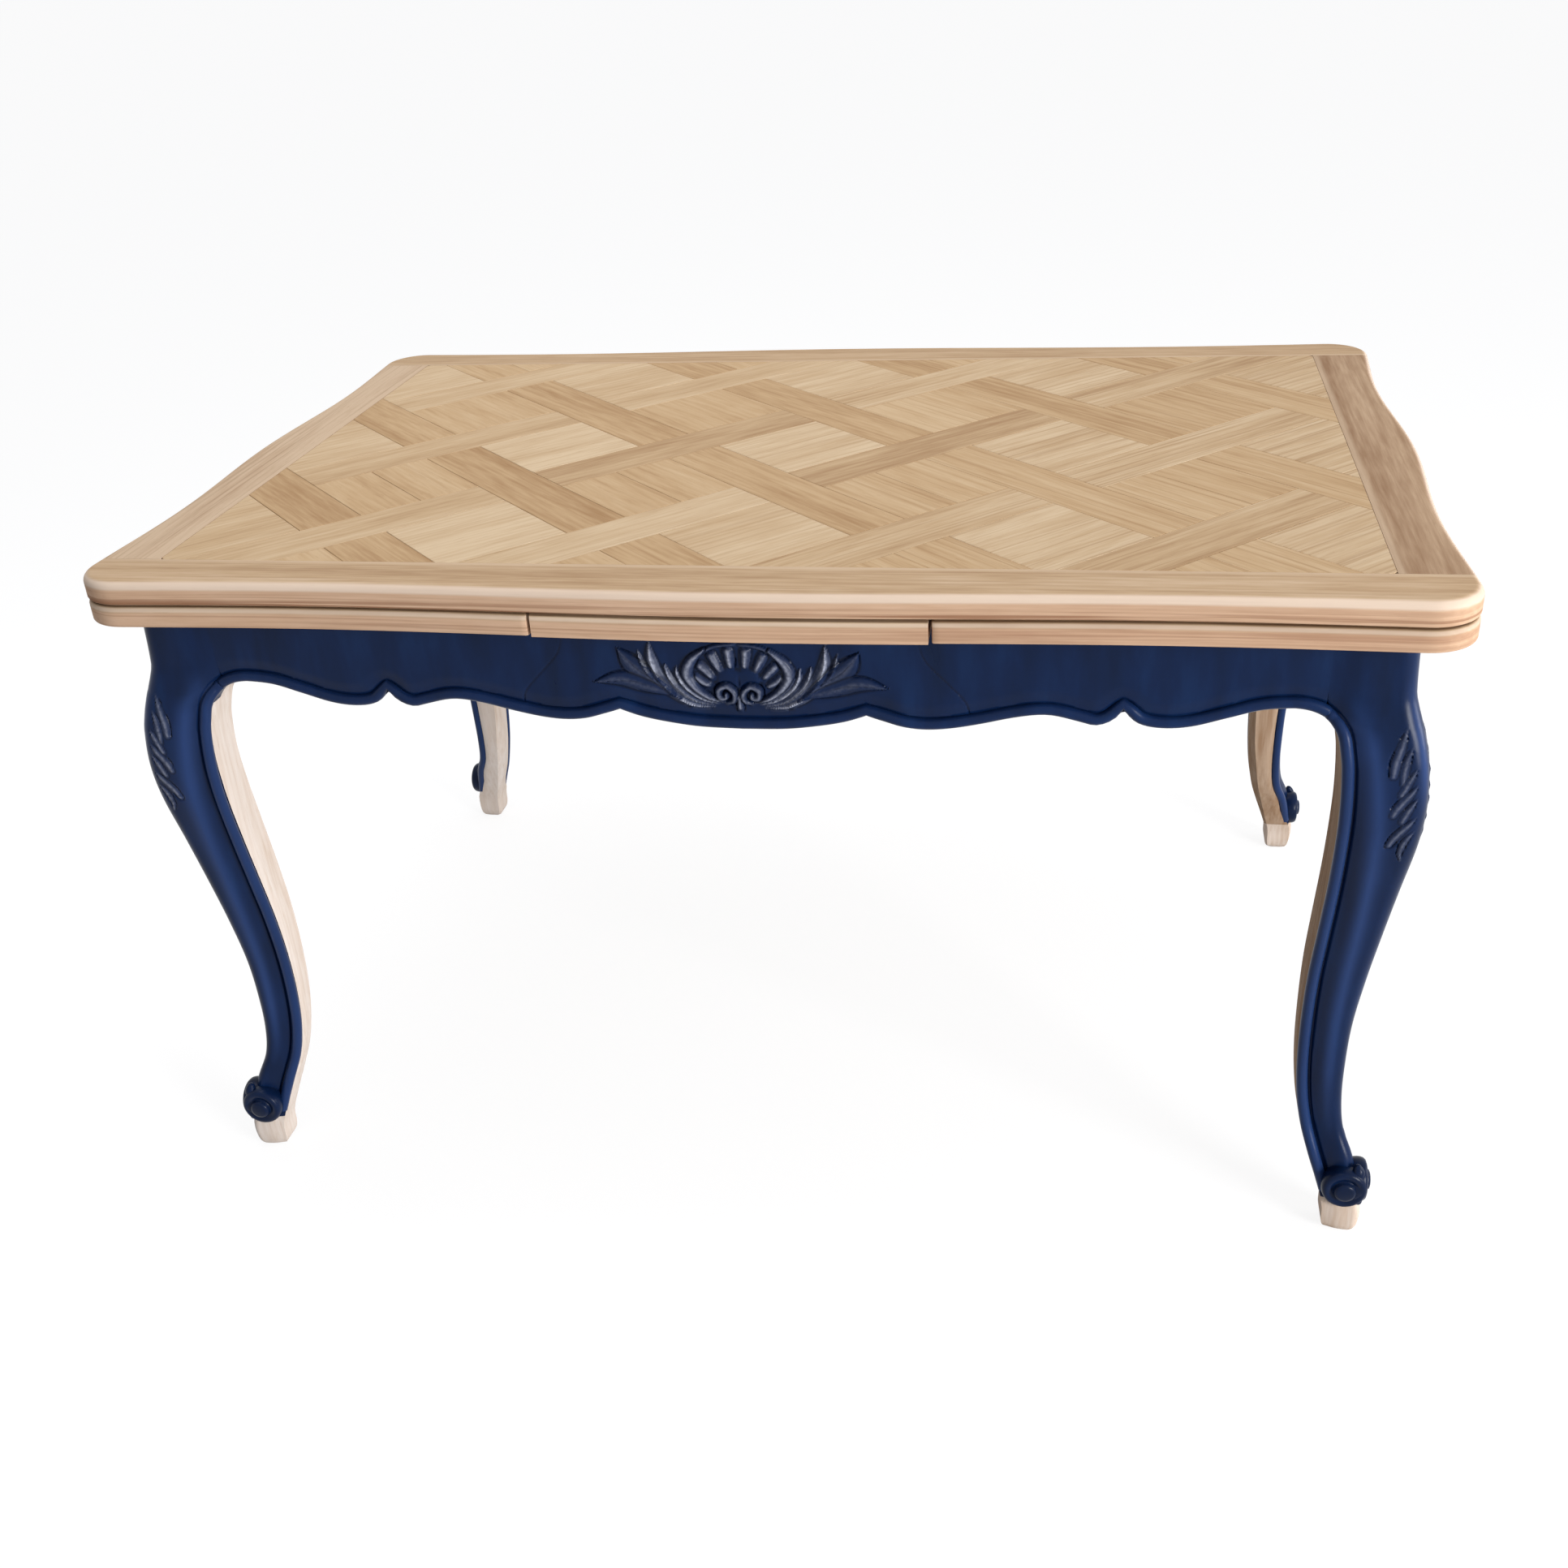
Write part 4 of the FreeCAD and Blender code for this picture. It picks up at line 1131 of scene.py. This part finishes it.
def clipped(polygon, field):
    """Convex polygon cut to a rectangular field."""
    for axis in (0, 1):
        for limit, sign in ((field[axis][0], 1), (field[axis][1], -1)):
            kept = []
            for a, b in zip(polygon, polygon[1:] + polygon[:1]):
                inside_a, inside_b = sign * (a[axis] - limit) >= 0, sign * (b[axis] - limit) >= 0
                if inside_a:
                    kept.append(a)
                if inside_a != inside_b:
                    t = (limit - a[axis]) / (b[axis] - a[axis])
                    kept.append((a[0] + t * (b[0] - a[0]), a[1] + t * (b[1] - a[1])))
            polygon = kept
            if len(polygon) < 3:
                return []
    return polygon


def area_of(polygon):
    """Area of a polygon, negative where it runs clockwise."""
    return 0.5 * sum(a[0] * b[1] - b[0] * a[1] for a, b in zip(polygon, polygon[1:] + polygon[:1]))


# Woven parquet: spacing of its squares, breadth of its strips, the joint between boards, the area below
# which a cut board is left away, the eased upper edge, and squares counted each way from the middle
parquet_pitch = 212.0
strip_width = 70.0
parquet_joint = 0.5
least_parquet_area = 40.0
parquet_ease = 0.5
parquet_reach = 11

# The grain grows livelier along the table, from one place and over one length; a board within this
# distance of a chosen place takes its tone
lively_start = -150.0
lively_length = 500.0
chosen_within = 40.0


def parquet_pieces(field):
    """Kind, middle and clipped outline of every parquet board in a field."""
    square = parquet_pitch - strip_width
    long_side = 2 * parquet_pitch - strip_width
    found = []
    for i in range(-parquet_reach, parquet_reach):
        for j in range(-parquet_reach, parquet_reach):
            even = (i + j) % 2 == 0
            u, v = i * parquet_pitch, j * parquet_pitch
            sides = (long_side, strip_width) if even else (strip_width, long_side)
            strip = "rising_strips" if even else "falling_strips"
            plans = [(strip, u + parquet_pitch / 2, v + parquet_pitch / 2, sides)]
            panel = "pale_squares" if even else "dark_squares"
            if (3 * i + 5 * j) % 4 == 1:
                for offset in (-square / 4, square / 4):
                    if even:
                        plans.append((panel, u, v + offset, (square, square / 2)))
                    else:
                        plans.append((panel, u + offset, v, (square / 2, square)))
            else:
                plans.append((panel, u, v, (square, square)))
            for kind, mid_u, mid_v, (length_u, length_v) in plans:
                half_u, half_v = (length_u - parquet_joint) / 2, (length_v - parquet_joint) / 2
                turns = [(-half_u, -half_v), (-half_u, half_v), (half_u, half_v), (half_u, -half_v)]
                uv = [(mid_u + a, mid_v + b) for a, b in turns]
                polygon = clipped([((p + q) / math.sqrt(2), (p - q) / math.sqrt(2)) for p, q in uv], field)
                if len(polygon) > 2 and abs(area_of(polygon)) > least_parquet_area:
                    middle = ((mid_u + mid_v) / math.sqrt(2), (mid_u - mid_v) / math.sqrt(2))
                    found.append((kind, middle, polygon if area_of(polygon) > 0 else polygon[::-1]))
    return found


def parquet_piece(name, kinds, field, high, tones):
    """All parquet pieces of some kinds in a field, each with an eased upper edge and its own grain."""
    low = high - parquet_thickness
    points, faces, marks, tone_list, streak_list, shifts = [], [], [], [], [], []
    for kind, middle, polygon in parquet_pieces(field):
        if kind not in kinds:
            continue
        line = np.array(polygon)
        inner = line + parquet_ease * inward_steps(line, parquet_mitre)
        start, count = len(points), len(polygon)
        points += [(x, y, low) for x, y in polygon]
        points += [(x, y, high - parquet_ease) for x, y in polygon]
        points += [(x, y, high) for x, y in inner]
        made = [list(range(start, start + count))[::-1], list(range(start + 2 * count, start + 3 * count))]
        made += ring_quads(3, count, start)
        faces += made
        marks += [1 if kind in ("falling_strips", "dark_squares") else 0] * len(made)
        base, spread = tones[kind]
        tone = base + random.uniform(-spread, spread)
        for place, chosen in chosen_tones.items():
            if math.dist(place, middle) < chosen_within:
                tone = chosen
        tone_list += [tone] * len(made)
        streak_list += [min(max((middle[0] - lively_start) / lively_length, 0.0), 1.0)] * len(made)
        shift = [random.uniform(-3, 3) for _ in range(3)]
        shifts += shift * len(made)
    piece = make_piece(name, points, faces, [rising_oak, falling_oak], marks)
    give_floats(piece, "piece_tone", "FACE", tone_list)
    give_floats(piece, "piece_streak", "FACE", streak_list)
    layer = piece.data.attributes.new("piece_shift", "FLOAT_VECTOR", "FACE")
    layer.data.foreach_set("vector", shifts)
    return piece


# Tone and spread of tone of each kind of board, and boards that stand out, by their middles
parquet_tones = {
    "pale_squares": (0.13, 0.05),
    "dark_squares": (0.07, 0.06),
    "rising_strips": (0.07, 0.05),
    "falling_strips": (0.06, 0.05),
}
chosen_tones = {
    (-300, 150): -0.12, (-300, -150): -0.13, (-150, 0): -0.13, (150, 0): -0.13, (-150, -300): 0.12,
    (0, -150): -0.07, (0, 150): -0.04, (-600, 150): -0.08, (-600, -150): -0.08, (-300, 450): -0.14,
    (0, 450): -0.13, (-300, -450): -0.10, (0, -450): -0.10, (450, -300): -0.06, (300, 150): -0.06,
    (-300, -300): 0.26, (-300, 0): 0.24, (0, 0): 0.22, (0, -300): 0.20, (300, 0): 0.16, (-300, 300): 0.14,
}
top_field = ((-field_x, field_x), (-field_y, field_y))
for kind in parquet_tones:
    slot = "parquet_strips_oak" if kind.endswith("strips") else "parquet_squares_oak"
    piece = parquet_piece("top_parquet_" + kind, (kind,), top_field, table_height, parquet_tones)
    settle(piece, "top", slot, "top_" + kind)
for side, field in (("left", (-field_x, -leaf_inner)), ("right", (leaf_inner, field_x))):
    for group, kinds in (("squares", ("pale_squares", "dark_squares")),
                         ("strips", ("rising_strips", "falling_strips"))):
        leaf_field = (field, (-field_y, field_y))
        piece = parquet_piece(f"{side}_leaf_parquet_{group}", kinds, leaf_field, leaf_high, parquet_tones)
        settle(piece, f"{side}_leaf", f"parquet_{group}_oak", f"{side}_leaf_{group}")


def lathe(profile, segments):
    """Closed turned form about the Y axis from (radius, height) steps that end on the axis."""
    points = []
    rings = [p for p in profile if p[0] > 0]
    for radius, height in rings:
        for i in range(segments):
            angle = 2 * math.pi * i / segments
            points.append((radius * math.cos(angle), height, radius * math.sin(angle)))
    faces = ring_quads(len(rings), segments)
    last = (len(rings) - 1) * segments
    points.append((0.0, profile[-1][1], 0.0))
    for i in range(segments):
        faces.append([last + i, last + (i + 1) % segments, len(points) - 1])
    faces.append(list(range(segments))[::-1])
    return points, faces


# A foot's scroll: its turned end as (radius, height) steps, the height of its middle above the floor, how
# much painted shade darkens it all over, the sides of its mesh, and the angle from which its edges are sharp
scroll_profile = [
    (21.0, 0.0), (23.2, 8.0), (24.2, 15.0), (24.0, 18.4), (23.2, 21.2), (21.6, 23.2), (19.4, 24.0),
    (16.8, 23.6), (14.2, 22.2), (12.6, 21.6), (11.8, 22.4), (11.4, 25.4), (10.4, 27.4), (7.6, 28.4),
    (0.0, 28.6),
]
scroll_height = 65.5
foot_shade = 0.30
scroll_sides = 48
scroll_sharp = 50.0

# Curled leaf on a foot's corner: half its depth, breadth and height, the height and distance of its middle
# from the foot's, its lean, its lobes, and the rings and sides of its mesh
curl_depth = 8.5
curl_breadth = 9.5
curl_rise = 26.0
curl_height = 69.0
curl_distance = 20.0
curl_lean = 0.10
long_lobes = 0.10
round_lobes = 0.04
curl_rings = 30
curl_sides = 36


def leaf_lump(rings, segments):
    """Curled leaf on the outer corner of a foot, with soft lobes."""
    points = []
    for k in range(1, rings):
        tilt = math.pi * k / rings
        for i in range(segments):
            turn = 2 * math.pi * i / segments
            lobe = 1 + long_lobes * math.cos(6 * tilt + 2.0 * math.cos(turn))
            lobe += round_lobes * math.cos(4 * turn)
            out = curl_depth * math.sin(tilt) * math.cos(turn) * lobe
            aside = curl_breadth * math.sin(tilt) * math.sin(turn) * lobe
            up = curl_rise * math.cos(tilt)
            radial = curl_distance + out - curl_lean * up
            x, y = (radial - aside) / math.sqrt(2), (radial + aside) / math.sqrt(2)
            points.append((x, y, curl_height + up))
    faces = ring_quads(rings - 1, segments, turned=True)
    faces.append(list(range(segments)))
    faces.append(list(range((rings - 2) * segments, (rings - 1) * segments))[::-1])
    return points, faces


def foot_scroll(name, side_x, side_y):
    """Two turned scroll ends and the curled leaf between them."""
    disc_points, disc_faces = lathe(scroll_profile, scroll_sides)
    leaf_points, leaf_faces = leaf_lump(curl_rings, curl_sides)
    points, faces = [], []
    forms = [([(x, y, z + scroll_height) for x, y, z in disc_points], disc_faces),
             ([(y, x, z + scroll_height) for x, y, z in disc_points], disc_faces),
             (leaf_points, leaf_faces)]
    for form_points, form_faces in forms:
        start = len(points)
        points += [(side_x * (foot_x + x), side_y * (foot_y + y), z) for x, y, z in form_points]
        faces += [[start + i for i in face] for face in form_faces]
    piece = make_piece(name, points, faces, [paint], sharp=scroll_sharp)
    # Painted shade darkens the whole scroll
    give_floats(piece, "cut", "POINT", [foot_shade] * len(points))
    form = bmesh.new()
    form.from_mesh(piece.data)
    bmesh.ops.recalc_face_normals(form, faces=form.faces[:])
    form.to_mesh(piece.data)
    form.free()
    return piece


for face, end, side_x, side_y in corners:
    settle(foot_scroll(f"{face}_{end}_foot_scroll", side_x, side_y), "frame", "painted_oak")

# Solids that keep their shape get their finish
finishes = {"centre_board": border_x, "centre_rail": carcass_y, "joint_pegs": peg_oak, "top_core": carcass_x,
            "centre_board_screws": steel, "top_guide_pegs": peg_oak}
for side in ("left_leaf", "right_leaf"):
    finishes[side + "_core"] = carcass_y
    finishes[side + "_front_runner"] = carcass_x
    finishes[side + "_back_runner"] = carcass_x
    finishes[side + "_screws"] = steel
    finishes[side + "_stop_pegs"] = peg_oak
for node, material in finishes.items():
    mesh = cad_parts[node].data
    mesh.materials.clear()
    mesh.materials.append(material)


def seen_share(tree):
    """1 for rays that show the surroundings themselves: the camera's, and those in gloss and glass."""
    path = add_node(tree, "ShaderNodeLightPath").outputs
    shown = add_node(tree, "ShaderNodeMath", {0: path["Is Camera Ray"], 1: path["Is Glossy Ray"]},
                     operation="MAXIMUM").outputs[0]
    return add_node(tree, "ShaderNodeMath", {0: shown, 1: path["Is Transmission Ray"]},
                    operation="MAXIMUM").outputs[0]


# Floor: half its side in metres, and how bright it shows without its light
floor_reach = 60.0
floor_glow = 0.86

# Light of the surroundings from the left and from the right, and the lamps: place, aim and size in metres,
# then power in watts
left_light = 0.20
right_light = 0.72
lamps = {
    "window_right": ((3.8, -2.9, 1.5), (0, 0, 0.45), 1.5, 190.0),
    "strip_right": ((2.6, 0.1, 0.75), (0, 0, 0.5), 0.7, 12.0),
    "overhead": ((-0.5, 0.3, 3.2), (-0.1, 0, 0.7), 2.0, 36.0),
}


def pale_floor():
    """Plain pale floor that shows near white and keeps the object's shadow."""
    material, tree, shader = new_material("pale_floor")
    place = add_node(tree, "ShaderNodeTexCoord").outputs["Object"]
    cloud = add_node(tree, "ShaderNodeTexNoise", {"Vector": place, "Scale": 0.8}).outputs["Fac"]
    tint = add_node(tree, "ShaderNodeValToRGB", {"Fac": cloud}, [(0.3, "#C9C9C9"), (0.7, "#CDCDCD")])
    tree.links.new(tint.outputs["Color"], shader.inputs["Base Color"])
    shader.inputs["Roughness"].default_value = 0.9
    shader.inputs["Specular IOR Level"].default_value = 0.1
    glow = add_node(tree, "ShaderNodeEmission", {"Color": linear("#FFFFFF"), "Strength": floor_glow})
    veil = add_node(tree, "ShaderNodeBsdfDiffuse", {"Color": linear("#808080")})
    lit = add_node(tree, "ShaderNodeAddShader", {0: glow.outputs[0], 1: veil.outputs[0]})
    shown = add_node(tree, "ShaderNodeMixShader",
                     {0: seen_share(tree), 1: shader.outputs[0], 2: lit.outputs[0]})
    tree.links.new(shown.outputs[0], tree.nodes["Material Output"].inputs["Surface"])
    mesh = bpy.data.meshes.new("floor")
    turns = [(-1, -1), (1, -1), (1, 1), (-1, 1)]
    mesh.from_pydata([(x * floor_reach, y * floor_reach, 0) for x, y in turns], [], [(0, 1, 2, 3)])
    mesh.materials.append(material)
    floor = add_object("floor", mesh)


def soft_lamp(name, place, aim, size, power):
    """Square lamp at a place, turned to what it lights."""
    lamp = bpy.data.lights.new(name, "AREA")
    lamp.shape = "SQUARE"
    lamp.size = size
    lamp.energy = power
    made = add_object(name, lamp)
    made.location = place
    made.rotation_euler = (Vector(aim) - Vector(place)).to_track_quat("-Z", "Y").to_euler()


def studio():
    """Pale surroundings that show white and light most from the right, a window there and soft fill."""
    world = bpy.data.worlds.new("studio")
    bpy.context.scene.world = world
    world.use_nodes = True
    tree = world.node_tree
    tree.nodes.clear()
    toward = add_node(tree, "ShaderNodeTexCoord").outputs["Generated"]
    toward = add_node(tree, "ShaderNodeSeparateXYZ", {0: toward}).outputs["X"]
    level = add_node(tree, "ShaderNodeMapRange",
                     {0: toward, 1: -1.0, 2: 1.0, 3: left_light, 4: right_light}).outputs[0]
    light = add_node(tree, "ShaderNodeBackground", {"Color": linear("#F8F9FF"), "Strength": level})
    seen = add_node(tree, "ShaderNodeBackground", {"Color": linear("#FFFFFF"), "Strength": 1.0})
    mixed = add_node(tree, "ShaderNodeMixShader",
                     {0: seen_share(tree), 1: light.outputs[0], 2: seen.outputs[0]})
    add_node(tree, "ShaderNodeOutputWorld", {0: mixed.outputs[0]})
    for name, (place, aim, size, power) in lamps.items():
        soft_lamp(name, place, aim, size, power)


# Viewpoint: its place in metres, its turns in degrees, and the lens on a sensor in millimetres
view_place = (0.3447, -1.8660, 1.3385)
view_yaw = -11.882
view_pitch = 28.505
view_roll = 3.672
view_lens = 37.818
view_sensor = 36.0


def photo_camera():
    """Camera at the photograph's viewpoint."""
    yaw, pitch, roll = [math.radians(turn) for turn in (view_yaw, view_pitch, view_roll)]
    forward = Vector((math.sin(yaw) * math.cos(pitch), math.cos(yaw) * math.cos(pitch), -math.sin(pitch)))
    level = Vector((math.cos(yaw), -math.sin(yaw), 0))
    down = forward.cross(level)
    right = math.cos(roll) * level + math.sin(roll) * down
    up = math.sin(roll) * level - math.cos(roll) * down
    lens = bpy.data.cameras.new("viewpoint")
    lens.sensor_width = view_sensor
    lens.lens = view_lens
    camera = add_object("viewpoint", lens)
    camera.matrix_world = Matrix((right, up, -forward)).transposed().to_4x4()
    camera.location = view_place
    bpy.context.scene.camera = camera


pale_floor()
studio()
photo_camera()
bpy.context.scene.view_settings.view_transform = "Standard"
